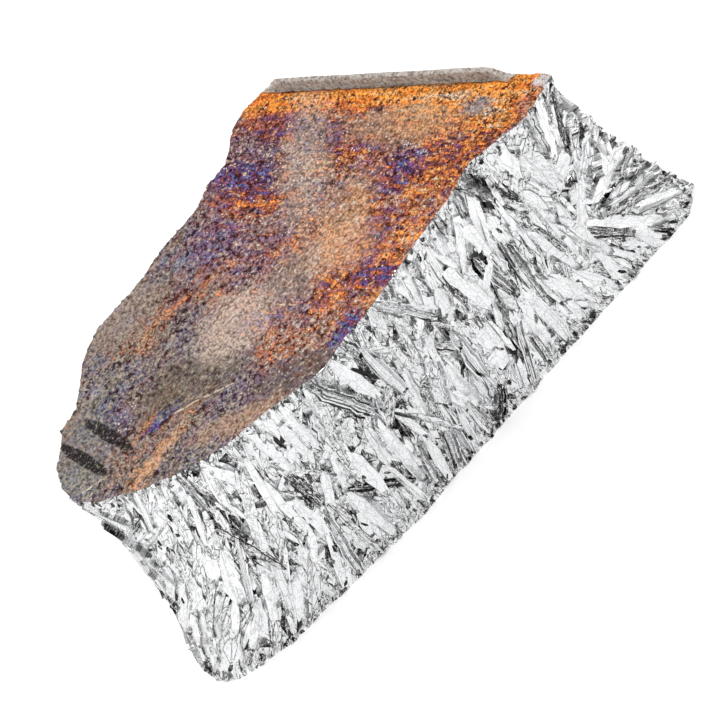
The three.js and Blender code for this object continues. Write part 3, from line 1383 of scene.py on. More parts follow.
@dataclass
class TopRelief:
    """The free points of the top: the waves of the cast skin, its fine granules and the lip."""

    form: CastForm
    lip_rows: tuple[float, ...] = (0.3, 0.55, 0.78, 0.94, 1.08, 1.24, 1.42, 1.7, 2.1, 2.5)
    spacing: float = 0.36
    jitter: float = 0.30
    seed: int = 23

    def __post_init__(self) -> None:
        """Find the run of the rim that has the lip."""
        front, back = self.form.lip_ends()
        span = 3.0
        start = self.form.s_of(*front[:2]) - self.form.length - span
        end = self.form.s_of(*back[:2]) + span
        s = np.arange(start, end, self.spacing)
        wrapped = np.mod(s, self.form.length)
        self.wall = self.form.point(wrapped, np.ones(len(s)))[:, :2]

    def wall_distance(self, points: np.ndarray) -> np.ndarray:
        """Return how far plan points lie from the rim with the lip."""
        return distance_to(points, self.wall[:-1], self.wall[1:])

    def free_points(self) -> np.ndarray:
        """Return the points: rows beside the lip, then a scattered grid over the rest."""
        grid = scattered_grid(self.form, self.spacing, self.jitter, self.seed)
        clear = 0.5 * self.spacing
        grid = grid[self.wall_distance(grid) > self.lip_rows[-1] + clear]
        plan = np.concatenate([self._row(distance) for distance in self.lip_rows] + [grid])
        heights = np.array([self._height(px, py) for px, py in plan])
        return np.column_stack([plan, heights])

    def _row(self, distance: float) -> np.ndarray:
        """Return a row of plan points at a distance from the wall."""
        along = np.gradient(self.wall, axis=0)
        inward = np.column_stack([-along[:, 1], along[:, 0]])
        inward /= np.linalg.norm(inward, axis=1, keepdims=True)
        wander = np.array([noise.noise(Vector((0.5 * p[0], 0.5 * p[1], distance))) for p in self.wall])
        row = self.wall + inward * (distance + 0.06 * wander[:, None])
        apart = np.abs(self.wall_distance(row) - distance) < 0.15
        return row[apart]

    def _height(self, x: float, y: float) -> float:
        """Return the height of the top at a plan point."""
        base = self.form.low[2]
        if abs(x) < self.form.high[0] and abs(y) < self.form.high[1]:
            above = Vector((x, y, 2.0 * self.form.high[2]))
            hit = self.form.tree.ray_cast(above, Vector((0.0, 0.0, -1.0)))[0]
            base = float(hit[2]) if hit is not None else 0.0
        waves = noise.noise(Vector((0.11 * x, 0.11 * y, 3.0)))
        dents = noise.noise(Vector((0.55 * x, 0.55 * y, 7.0)))
        grit = noise.noise(Vector((1.1 * x, 1.1 * y, 11.0)))
        relief = 0.16 * waves + 0.12 * min(dents, 0.15) + 0.13 * grit
        return min(base + relief - 0.05, float(self.form.high[2]))


@dataclass
class BottomRelief:
    """The free points of the underside: nearly flat, with the shallow pits that the mould floor left."""

    form: CastForm
    spacing: float = 2.0
    jitter: float = 0.35
    seed: int = 31

    def free_points(self) -> np.ndarray:
        """Return a scattered grid of points, none of them below the ground."""
        plan = scattered_grid(self.form, self.spacing, self.jitter, self.seed)
        pits = [noise.noise(Vector((0.14 * px, 0.14 * py, 17.0))) for px, py in plan]
        heights = np.clip(0.9 * (np.array(pits) - 0.25), 0.0, 0.25)
        return np.column_stack([plan, heights])


# ---- the chunk -----------------------------------------------------------------


@dataclass
class BismuthChunk:
    """The whole chunk: one closed mesh with its broken faces, cast wall, tarnished top and underside."""

    form: CastForm
    thickness: float = 37.0
    jag_step: float = 1.3
    jag: float = 0.35
    sharp_angle: float = 55.0
    seed: int = 5

    def build(self) -> bpy.types.Object:
        """Make the chunk.

        Returns:
            The chunk as one Blender object.
        """
        front_corner, back_corner, tip = self._corners()
        growth = Growth(front_corner, back_corner, tip, self.thickness)
        broken = CrystalField(growth)
        crystals = broken.lay_all()
        crystals += self._cast_sheets(front_corner, back_corner)
        tiling = BandTiler(crystals, self.form.length, self.thickness).tile()
        LOG.info("laid %d crystals, of which %d show", len(crystals), len(set(tiling.labels)))
        sheet = Sheet()
        band = BrokenBand(self.form, crystals, tiling, self.thickness, broken.shadow)
        band.build(sheet)
        side_count = len(sheet.triangles)
        loops = sorted(open_loops(sheet.triangles), key=len)[-2:]
        loops.sort(key=lambda loop: float(np.mean([sheet.points[n][2] for n in loop])))
        bottom, top = loops
        band.untangle(sheet, bottom)
        band.untangle(sheet, top)
        relief = TopRelief(self.form)
        Cap().close(sheet, top, relief.free_points(), Surface.SKIN)
        Cap(rim_gap=0.8).close(sheet, bottom, BottomRelief(self.form).free_points(), Surface.CAST)
        LOG.info("side %d triangles, whole %d", side_count, len(sheet.triangles))
        return self._to_object(sheet, relief)

    def _corners(self) -> Triple:
        """Return where the outline's front corner, back corner and tip lie along the band."""
        corners = self.form.corners
        front = corners[corners[:, 0].argmax()]
        back = self.form.lip_ends()[1]
        tip = corners[corners[:, 0].argmin()]
        s_front = self.form.s_of(*front[:2])
        s_back = self.form.s_of(*back[:2])
        s_tip = self.form.s_of(*tip[:2])
        LOG.info("corners: back %.1f, tip %.1f, front %.1f of %.1f", s_back, s_tip, s_front, self.form.length)
        return s_front, s_back, s_tip

    def _cast_sheets(self, front_corner: float, back_corner: float) -> list[Crystal]:
        """Return the two stretches of cast wall beside the seam, with ragged ends at the broken faces."""
        draw = random.Random(self.seed)
        count = int(self.thickness / self.jag_step)
        heights = [self.thickness * k / count for k in range(count + 1)]
        sheets = []
        for corner, seam in ((back_corner, 0.0), (front_corner, self.form.length)):
            ragged = [(corner + draw.uniform(-self.jag, self.jag), z) for z in heights]
            outline = [(seam, 0.0), *ragged, (seam, self.thickness)]
            if seam > corner:
                outline.reverse()
            centre = (0.5 * (corner + seam), 0.5 * self.thickness)
            sheets.append(Crystal(outline, centre, 0.0, TOPMOST, Habit.CAST))
        return sheets

    def _to_object(self, sheet: Sheet, relief: TopRelief) -> bpy.types.Object:
        """Turn the sheet into a mesh object with its attributes.

        Args:
            sheet: The closed surface, in millimetres.
            relief: The top, for the distance from the lip.

        Returns:
            The object.
        """
        points = np.array(sheet.points)
        used = sorted({n for triangle in sheet.triangles for n in triangle})
        renumber = {old: new for new, old in enumerate(used)}
        triangles = [tuple(renumber[n] for n in t) for t in sheet.triangles]
        points = points[used]
        mesh = bpy.data.meshes.new("bismuth_chunk_looks")
        mesh.from_pydata((points * MM).tolist(), [], triangles)
        mesh.polygons.foreach_set("material_index", [int(s) for s in sheet.surfaces])
        smooth = [s is not Surface.FRACTURE for s in sheet.surfaces]
        mesh.polygons.foreach_set("use_smooth", smooth)
        # tone and crevice carry the painted reflection and shade of the broken faces.
        for name, values, domain in (
            ("tone", sheet.tones, "FACE"),
            ("crevice", sheet.crevices, "FACE"),
            ("wall_distance", relief.wall_distance(points[:, :2]), "POINT"),
        ):
            mesh.attributes.new(name, "FLOAT", domain).data.foreach_set("value", values)
        grain = mesh.uv_layers.new(name="grain")
        grain.data.foreach_set("uv", np.array(sheet.grains).ravel())
        mesh.set_sharp_from_angle(angle=math.radians(self.sharp_angle))
        self._report_faults(mesh)
        return new_object("bismuth_chunk_broken", mesh)

    @staticmethod
    def _report_faults(mesh: bpy.types.Mesh) -> None:
        """Log edges that don't have two faces, and faces with no area."""
        uses: dict[Edge, int] = {}
        for polygon in mesh.polygons:
            for key in polygon.edge_keys:
                uses[key] = uses.get(key, 0) + 1
        bad = sum(count != 2 for count in uses.values())
        flat = sum(polygon.area < NO_AREA for polygon in mesh.polygons)
        LOG.info("%d faces, %d open or crowded edges, %d faces with no area", len(mesh.polygons), bad, flat)


def new_object(name: str, data: bpy.types.ID) -> bpy.types.Object:
    """Make an object and link it to the scene."""
    thing = bpy.data.objects.new(name, data)
    bpy.context.scene.collection.objects.link(thing)
    return thing


# ---- the studio ----------------------------------------------------------------


@dataclass(frozen=True)
class SoftLight:
    """A soft box that faces the chunk."""

    name: str
    bearing: float
    elevation: float
    distance: float
    size: float
    power: float

    def build(self, target: Vector) -> None:
        """Hang the light and turn it to the target."""
        light = bpy.data.lights.new(self.name, "AREA")
        light.shape = "DISK"
        light.size = self.size
        light.energy = self.power
        lamp = new_object(self.name, light)
        turn, rise = math.radians(self.bearing), math.radians(self.elevation)
        aim = Vector((math.sin(turn) * math.cos(rise), -math.cos(turn) * math.cos(rise), math.sin(rise)))
        lamp.location = target + aim * self.distance
        lamp.rotation_euler = aim.to_track_quat("Z", "Y").to_euler()


@dataclass(frozen=True)
class Studio:
    """A plain pale floor, soft lights and the camera."""

    floor_size: float = 4.0
    camera_distance: float = 600.0
    camera_elevation: float = 43.4
    camera_roll: float = 46.6
    frame_width: float = 104.14
    sensor: float = 36.0
    target: Triple = (-1.5, -10.0, 18.5)

    def build(self) -> None:
        """Set the whole studio up."""
        self._floor()
        self._world()
        self._lights()
        self._camera()

    def _floor(self) -> None:
        """Lay the floor."""
        half = 0.5 * self.floor_size
        mesh = bpy.data.meshes.new("floor")
        corners = [(-half, -half, 0.0), (half, -half, 0.0), (half, half, 0.0), (-half, half, 0.0)]
        mesh.from_pydata(corners, [], [(0, 1, 2, 3)])
        floor = new_object("floor", mesh)
        material = bpy.data.materials.new("floor_paper")
        material.use_nodes = True
        shader = material.node_tree.nodes["Principled BSDF"]
        shader.inputs["Base Color"].default_value = (0.9, 0.9, 0.9, 1.0)
        shader.inputs["Roughness"].default_value = 0.9
        shader.inputs["Specular IOR Level"].default_value = 0.0
        mesh.materials.append(material)

    @staticmethod
    def _world() -> None:
        """Fill the room with dim, even light."""
        world = bpy.data.worlds.new("studio")
        world.use_nodes = True
        background = world.node_tree.nodes["Background"]
        background.inputs["Color"].default_value = (1.0, 1.0, 1.0, 1.0)
        background.inputs["Strength"].default_value = 0.78
        bpy.context.scene.world = world
        bpy.context.scene.view_settings.view_transform = "Standard"

    def _lights(self) -> None:
        """Hang the soft boxes."""
        target = Vector(self.target) * MM
        for light in (
            SoftLight("soft_box_front", bearing=-35.0, elevation=50.0, distance=1.2, size=0.9, power=6.0),
            SoftLight("soft_box_back", bearing=175.0, elevation=46.0, distance=1.3, size=0.6, power=6.0),
            SoftLight("soft_box_right", bearing=72.0, elevation=38.0, distance=1.2, size=0.6, power=5.0),
        ):
            light.build(target)

    def _camera(self) -> None:
        """Set the camera up, rolled so that the chunk stands on its corner in the picture."""
        rise, roll = math.radians(self.camera_elevation), math.radians(self.camera_roll)
        back = Vector((0.0, -math.cos(rise), math.sin(rise)))
        level = Vector((1.0, 0.0, 0.0))
        upward = Vector((0.0, math.sin(rise), math.cos(rise)))
        right = level * math.cos(roll) - upward * math.sin(roll)
        above = level * math.sin(roll) + upward * math.cos(roll)
        data = bpy.data.cameras.new("camera")
        data.sensor_width = self.sensor
        data.lens = self.sensor * self.camera_distance / self.frame_width
        camera = new_object("camera", data)
        turn = Matrix((right, above, back)).transposed().to_4x4()
        place = (Vector(self.target) + back * self.camera_distance) * MM
        camera.matrix_world = Matrix.Translation(place) @ turn
        bpy.context.scene.camera = camera


# ---- the finishes --------------------------------------------------------------

Colour = Triple
Socket = bpy.types.NodeSocket
Feed = Socket | float | tuple[float, ...]


def srgb(red: int, green: int, blue: int) -> Colour:
    """Return a colour named by its screen values, 0 to 255, as the light that it reflects."""

    def linear(value: int) -> float:
        """Undo the screen's curve for one channel."""
        share = value / 255.0
        return share / 12.92 if share <= 0.04045 else ((share + 0.055) / 1.055) ** 2.4

    return linear(red), linear(green), linear(blue)


class Graph:
    """A material's node tree, with short ways to add nodes and join them."""

    def __init__(self, name: str) -> None:
        """Start a material with its one shader."""
        self.material = bpy.data.materials.new(name)
        self.material.use_nodes = True
        self.tree = self.material.node_tree
        self.shader = self.tree.nodes["Principled BSDF"]
        place = self.tree.nodes.new("ShaderNodeTexCoord").outputs["Object"]
        self.place = self.vector("SCALE", place, scale=1.0 / MM)

    def feed(self, socket: Socket, value: Feed) -> None:
        """Join a socket to another, or set it."""
        if isinstance(value, Socket):
            self.tree.links.new(value, socket)
        elif isinstance(value, tuple) and socket.type == "RGBA":
            socket.default_value = (*value, 1.0)
        else:
            socket.default_value = value

    def math(self, operation: str, a: Feed, b: Feed = 0.0, c: Feed = 0.0) -> Socket:
        """Add a sum and return its result."""
        node = self.tree.nodes.new("ShaderNodeMath")
        node.operation = operation
        for socket, value in zip(node.inputs, (a, b, c)):
            self.feed(socket, value)
        return node.outputs[0]

    def vector(self, operation: str, a: Feed, b: Feed = (0.0, 0.0, 0.0), scale: float = 1.0) -> Socket:
        """Add a sum of vectors and return its result."""
        node = self.tree.nodes.new("ShaderNodeVectorMath")
        node.operation = operation
        self.feed(node.inputs[0], a)
        if operation == "SCALE":
            self.feed(node.inputs["Scale"], scale)
        else:
            self.feed(node.inputs[1], b)
        return node.outputs["Value" if operation == "DOT_PRODUCT" else "Vector"]

    def mix(self, share: Feed, a: Feed, b: Feed, blend: str = "MIX") -> Socket:
        """Blend two colours."""
        node = self.tree.nodes.new("ShaderNodeMix")
        node.data_type = "RGBA"
        node.blend_type = blend
        for socket, value in zip((node.inputs[0], node.inputs[6], node.inputs[7]), (share, a, b)):
            self.feed(socket, value)
        return node.outputs[2]

    def plus(self, a: Feed, b: Feed) -> Socket:
        """Add two numbers."""
        return self.math("ADD", a, b)

    def minus(self, a: Feed, b: Feed) -> Socket:
        """Take one number from another."""
        return self.math("SUBTRACT", a, b)

    def times(self, a: Feed, b: Feed) -> Socket:
        """Multiply two numbers."""
        return self.math("MULTIPLY", a, b)

    def most(self, a: Feed, b: Feed) -> Socket:
        """Return the larger of two numbers."""
        return self.math("MAXIMUM", a, b)

    def gap(self, a: Feed, b: Feed) -> Socket:
        """Return how far apart two numbers are."""
        return self.math("ABSOLUTE", self.minus(a, b))

    def swing(self, value: Feed, reach: float) -> Socket:
        """Turn a value that is 0.5 on average into one that swings about 0."""
        return self.times(self.minus(value, 0.5), reach)

    def blend(self, share: Feed, a: Feed, b: Feed) -> Socket:
        """Blend two numbers."""
        return self.plus(a, self.times(self.minus(b, a), share))

    def tinted(self, colour: Feed, tint: Feed) -> Socket:
        """Return a colour multiplied by another."""
        return self.mix(1.0, colour, tint, "MULTIPLY")

    def step(self, value: Feed, low: float, high: float, start: float = 0.0, end: float = 1.0) -> Socket:
        """Go smoothly from ``start`` to ``end`` as the value goes from ``low`` to ``high``."""
        node = self.tree.nodes.new("ShaderNodeMapRange")
        node.interpolation_type = "SMOOTHSTEP"
        node.clamp = False
        for socket, fed in zip(node.inputs, (value, low, high, start, end)):
            self.feed(socket, fed)
        return node.outputs[0]

    def ramp(self, value: Feed, stops: list[tuple[float, Colour]]) -> Socket:
        """Colour a value by stops."""
        node = self.tree.nodes.new("ShaderNodeValToRGB")
        bar = node.color_ramp
        while len(bar.elements) < len(stops):
            bar.elements.new(0.5)
        for element, (at, colour) in zip(bar.elements, stops):
            element.position = at
            element.color = (*colour, 1.0)
        self.feed(node.inputs[0], value)
        return node.outputs[0]

    def axes(self) -> list[Socket]:
        """Return the three numbers of the place."""
        node = self.tree.nodes.new("ShaderNodeSeparateXYZ")
        self.feed(node.inputs[0], self.place)
        return list(node.outputs)

    def streaks(self, turn: float, scale: Triple, shift: float = 0.0) -> Socket:
        """Add streaky noise: turned by degrees and scaled along its own axes."""
        return self.noise(self.stretch(self.place, turn, scale, shift), 1.0, 3.0, 0.7)

    def stretch(self, at: Socket, turn: float, scale: Triple, shift: float = 0.0) -> Socket:
        """Turn a place about the vertical by degrees, then scale it along its new axes."""
        node = self.tree.nodes.new("ShaderNodeMapping")
        node.vector_type = "TEXTURE"
        self.feed(node.inputs["Vector"], at)
        self.feed(node.inputs["Rotation"], (0.0, 0.0, math.radians(turn)))
        self.feed(node.inputs["Scale"], tuple(1.0 / x for x in scale))
        self.feed(node.inputs["Location"], (shift, -shift, shift))
        return node.outputs[0]

    def noise(
        self, at: Socket, scale: float, detail: float = 2.0, rough: float = 0.5, warp: float = 0.0
    ) -> Socket:
        """Add soft noise, about 0.2 to 0.8 and 0.5 on average."""
        node = self.tree.nodes.new("ShaderNodeTexNoise")
        names = ("Vector", "Scale", "Detail", "Roughness", "Distortion")
        for name, value in zip(names, (at, scale, detail, rough, warp)):
            self.feed(node.inputs[name], value)
        return node.outputs["Fac"]

    def cells(self, at: Socket, scale: float, feature: str = "F1", output: str = "Distance") -> Socket:
        """Add a cell pattern."""
        node = self.tree.nodes.new("ShaderNodeTexVoronoi")
        node.feature = feature
        self.feed(node.inputs["Vector"], at)
        self.feed(node.inputs["Scale"], scale)
        return node.outputs[output]

    def attribute(self, name: str) -> Socket:
        """Read one of the mesh's own numbers."""
        node = self.tree.nodes.new("ShaderNodeAttribute")
        node.attribute_name = name
        return node.outputs["Fac"]

    def patch(self, at: Socket, x: float, y: float, half: Pair, turn: float, soft: float) -> Socket:
        """Return 1 inside an oval of the plan and 0 outside, with a soft edge."""
        cosine, sine = math.cos(math.radians(turn)), math.sin(math.radians(turn))
        away = self.vector("SUBTRACT", at, (x, y, 0.0))
        along = self.vector("DOT_PRODUCT", away, (cosine / half[0], sine / half[0], 0.0))
        across = self.vector("DOT_PRODUCT", away, (-sine / half[1], cosine / half[1], 0.0))
        squared = self.math("MULTIPLY_ADD", along, along, self.times(across, across))
        return self.step(squared, (1.0 - soft) ** 2, (1.0 + soft) ** 2, 1.0, 0.0)

    def bump(self, height: Socket, depth: float) -> None:
        """Raise the surface by a height, 0 to 1, times a depth in millimetres."""
        node = self.tree.nodes.new("ShaderNodeBump")
        node.inputs["Distance"].default_value = depth * MM
        self.feed(node.inputs["Height"], height)
        self.feed(self.shader.inputs["Normal"], node.outputs[0])

    def finish(
        self, colour: Feed, metallic: float, roughness: Feed, specular: float = 0.5
    ) -> bpy.types.Material:
        """Feed the shader and return the material."""
        self.feed(self.shader.inputs["Base Color"], colour)
        self.shader.inputs["Metallic"].default_value = metallic
        self.shader.inputs["Specular IOR Level"].default_value = specular
        self.feed(self.shader.inputs["Roughness"], roughness)
        return self.material


@dataclass(frozen=True)
class FreshFracture:
    """Bright broken bismuth: mirror-like cleavage faces with growth lines, cracks and dark clefts; the greys
    of the faces and the dark of the clefts are painted reflection and shade.
    """

    name: str = "fresh_bismuth_fracture"
    metallic: float = 0.7

    def make(self) -> bpy.types.Material:
        """Build the finish."""
        graph = Graph(self.name)
        uv = graph.tree.nodes.new("ShaderNodeUVMap")
        uv.uv_map = "grain"
        grain = uv.outputs[0]
        shade = self._shade(graph, grain)
        grey = graph.tinted((0.96, 0.965, 0.975), shade)
        lines = graph.noise(graph.stretch(grain, 0.0, (0.3, 3.2, 1.0)), 1.0, 3.0, 0.6)
        fine = graph.noise(graph.place, 3.0, 3.0, 0.6)
        graph.bump(graph.plus(lines, graph.times(fine, 0.6)), 0.03)
        roughness = graph.step(fine, 0.35, 0.7, 0.2, 0.38)
        return graph.finish(grey, self.metallic, roughness)

    @staticmethod
    def _shade(graph: Graph, grain: Socket) -> Socket:
        """Return how bright the metal is, 0 to 1: painted reflection and shade by each face's tone, dark
        strokes that crowd on the darker faces and in the crevices, fine crack and net lines, grit, and
        painted shade in the crevices and deep places.
        """
        tone = graph.attribute("tone")
        # The plate greys: painted reflection and shade, one grey for each face.
        greys = ((0.0, 0.66), (0.3, 0.73), (0.6, 0.78), (0.88, 0.82), (1.0, 0.875))
        plate = graph.ramp(tone, [(at, (grey,) * 3) for at, grey in greys])
        strokes = graph.noise(graph.stretch(grain, 0.0, (0.7, 2.8, 1.0), 9.0), 1.3, 3.0, 0.75, 0.8)
        strokes = graph.minus(strokes, graph.step(tone, 0.0, 1.0, 0.555, 0.31))
        depth = graph.attribute("crevice")
        strokes = graph.minus(strokes, graph.times(depth, 0.26))
        marks = graph.step(strokes, -0.008, 0.012, 0.05, 1.0)
        net = graph.cells(graph.stretch(grain, 0.0, (0.35, 0.9, 1.0), 3.0), 0.9, "DISTANCE_TO_EDGE")
        netted = graph.step(net, 0.015, 0.045, 0.12, 1.0)
        thread = graph.noise(graph.stretch(grain, 0.0, (0.14, 0.9, 1.0), 31.0), 1.6, 5.0, 0.7, 1.2)
        crack = graph.gap(thread, 0.5)
        cracked = graph.step(crack, 0.012, 0.034, 0.05, 1.0)
        broken = graph.noise(graph.place, 0.9, 3.0, 0.7)
        marks = graph.times(marks, graph.blend(graph.step(broken, 0.46, 0.53), 1.0, cracked))
        marks = graph.times(marks, graph.blend(graph.step(broken, 0.47, 0.54), netted, 1.0))
        grit = graph.noise(graph.stretch(grain, 0.0, (1.2, 3.0, 1.0), 5.0), 1.5, 3.0, 0.8)
        zones = graph.noise(graph.place, 0.24, 2.0, 0.5)
        gritty = graph.times(graph.step(zones, 0.46, 0.60), graph.step(grit, 0.57, 0.61))
        marks = graph.times(marks, graph.step(gritty, 0.0, 1.0, 1.0, 0.30))
        brightly_lit = graph.step(tone, 0.84, 0.93, 0.0, 0.62)
        marks = graph.blend(brightly_lit, marks, 1.0)
        # Painted shade in the steps between the faces and on the faces in the deep places.
        crevice = graph.step(depth, 0.10, 0.8, 1.0, 0.02)
        shade = graph.tinted(plate, marks)
        return graph.tinted(shade, crevice)


class Film(Enum):
    """The interference colours that show on the top, each by the thickness of its film, 0 to 1."""

    PALE = 0.15
    GOLD = 0.24
    COPPER = 0.34
    BROWN = 0.44
    MAROON = 0.54
    PURPLE = 0.64
    VIOLET = 0.71
    BLUE = 0.84
    TEAL = 0.92


@dataclass(frozen=True)
class FilmPatch:
    """A stretch of the top where one colour of the oxide film stands out.

    The place and the half sizes are millimetres of the plan, and the turn is degrees.
    """

    x: float
    y: float
    half: Pair
    turn: float
    film: Film
    strength: float = 0.8
    soft: float = 0.5


FILM_COLOURS = [
    (0.00, srgb(196, 178, 160)),
    (0.12, srgb(196, 160, 126)),
    (0.24, srgb(228, 144, 50)),
    (0.34, srgb(214, 114, 46)),
    (0.45, srgb(160, 84, 62)),
    (0.55, srgb(128, 66, 76)),
    (0.65, srgb(104, 54, 98)),
    (0.75, srgb(82, 62, 130)),
    (0.85, srgb(72, 96, 152)),
    (0.95, srgb(104, 122, 138)),
    (1.00, srgb(122, 126, 116)),
]

FILM_PATCHES = (
    FilmPatch(36, -15, (4, 3), 130, Film.GOLD, 1.0),
    FilmPatch(32, -6, (8, 4), 125, Film.PALE),
    FilmPatch(16, 16, (10, 2), 120, Film.MAROON),
    FilmPatch(6, 16, (6, 3), 125, Film.VIOLET),
    FilmPatch(5, 10, (8, 2), 125, Film.BROWN),
    FilmPatch(20, 4, (8, 2), 120, Film.MAROON),
    FilmPatch(22, -9, (5, 3), 155, Film.PURPLE),
    FilmPatch(28, -16, (6, 4), 145, Film.COPPER),
    FilmPatch(12, -14, (5, 3), 20, Film.PURPLE),
    FilmPatch(8, -19, (5, 2), 130, Film.VIOLET),
    FilmPatch(0, -23, (3, 2), 20, Film.BLUE),
    FilmPatch(3, -15, (4, 3), 0, Film.COPPER, 0.6),
    FilmPatch(3, -1, (6, 4), 0, Film.BROWN, 0.4),
    FilmPatch(-5, 10, (7, 6), 0, Film.VIOLET, 0.4),
    FilmPatch(-12, 7, (5, 2), 170, Film.COPPER, 0.5),
    FilmPatch(-7, -8, (5, 2), 150, Film.PURPLE),
    FilmPatch(-26, -8, (4, 1), 170, Film.BLUE),
    FilmPatch(-36, 0, (7, 5), 0, Film.TEAL, 0.5),
)


class WornTone(Enum):
    """The plain colours of the top where its film is dull or rubbed away."""

    CREAM = srgb(194, 172, 156)
    PEACH = srgb(206, 158, 118)
    TAN = srgb(174, 140, 112)
    TAUPE = srgb(150, 132, 118)
    GREY = srgb(168, 158, 150)
    DUST = srgb(130, 128, 118)
    OLIVE = srgb(98, 88, 74)
    SLATE = srgb(122, 134, 146)
    BARE = srgb(186, 186, 188)


@dataclass(frozen=True)
class WornPatch:
    """A stretch of the top where the film is dull or rubbed away."""

    x: float
    y: float
    half: Pair
    turn: float
    tone: WornTone
    strength: float = 0.6
    soft: float = 0.5


WORN_PATCHES = (
    WornPatch(-40, 1, (7, 7), 0, WornTone.DUST),
    WornPatch(-9, -22, (7, 3), 150, WornTone.OLIVE),
    WornPatch(-20, -7, (9, 4), 150, WornTone.OLIVE),
    WornPatch(-18, -21, (8, 2), 145, WornTone.TAN),
    WornPatch(-21, 13, (7, 3), 0, WornTone.TAUPE),
    WornPatch(-10, -5, (5, 4), 170, WornTone.CREAM, 0.7, 0.9),
    WornPatch(14, 8, (9, 3), 50, WornTone.GREY, 0.5, 0.9),
    WornPatch(13, -5, (5, 4), 20, WornTone.TAN),
    WornPatch(8, -10, (5, 3), 135, WornTone.PEACH, 0.6, 0.9),
    WornPatch(0, -7, (4, 3), 0, WornTone.TAUPE, 0.6, 0.9),
    WornPatch(27, -2, (9, 3), 125, WornTone.TAN),
    WornPatch(36, -11, (2, 1), 140, WornTone.SLATE, 0.7, 0.9),
    WornPatch(45, -18, (2, 1), 120, WornTone.BARE, 1.0, 0.3),
    WornPatch(-32, -13, (5, 1), 10, WornTone.PEACH, 0.7),
)


@dataclass(frozen=True)
class Scratch:
    """A bright straight scratch on the top: its middle, half its length and its turn."""

    x: float
    y: float
    half_length: float
    turn: float
    half_width: float = 0.17


SCRATCHES = (
    Scratch(-25, -9, 3, 155),
    Scratch(-19, -12, 4, 150),
    Scratch(-3, -10, 2, 120),
    Scratch(-41, -7, 2, 160),
)


# Where the painted bright glints crowd: place on the plan, half sizes and turn.
GLINT_FIELDS = (
    (-31.5, -2.5, (4.5, 1.5), 20),
    (-42.5, -10, (3.5, 1), 120),
)


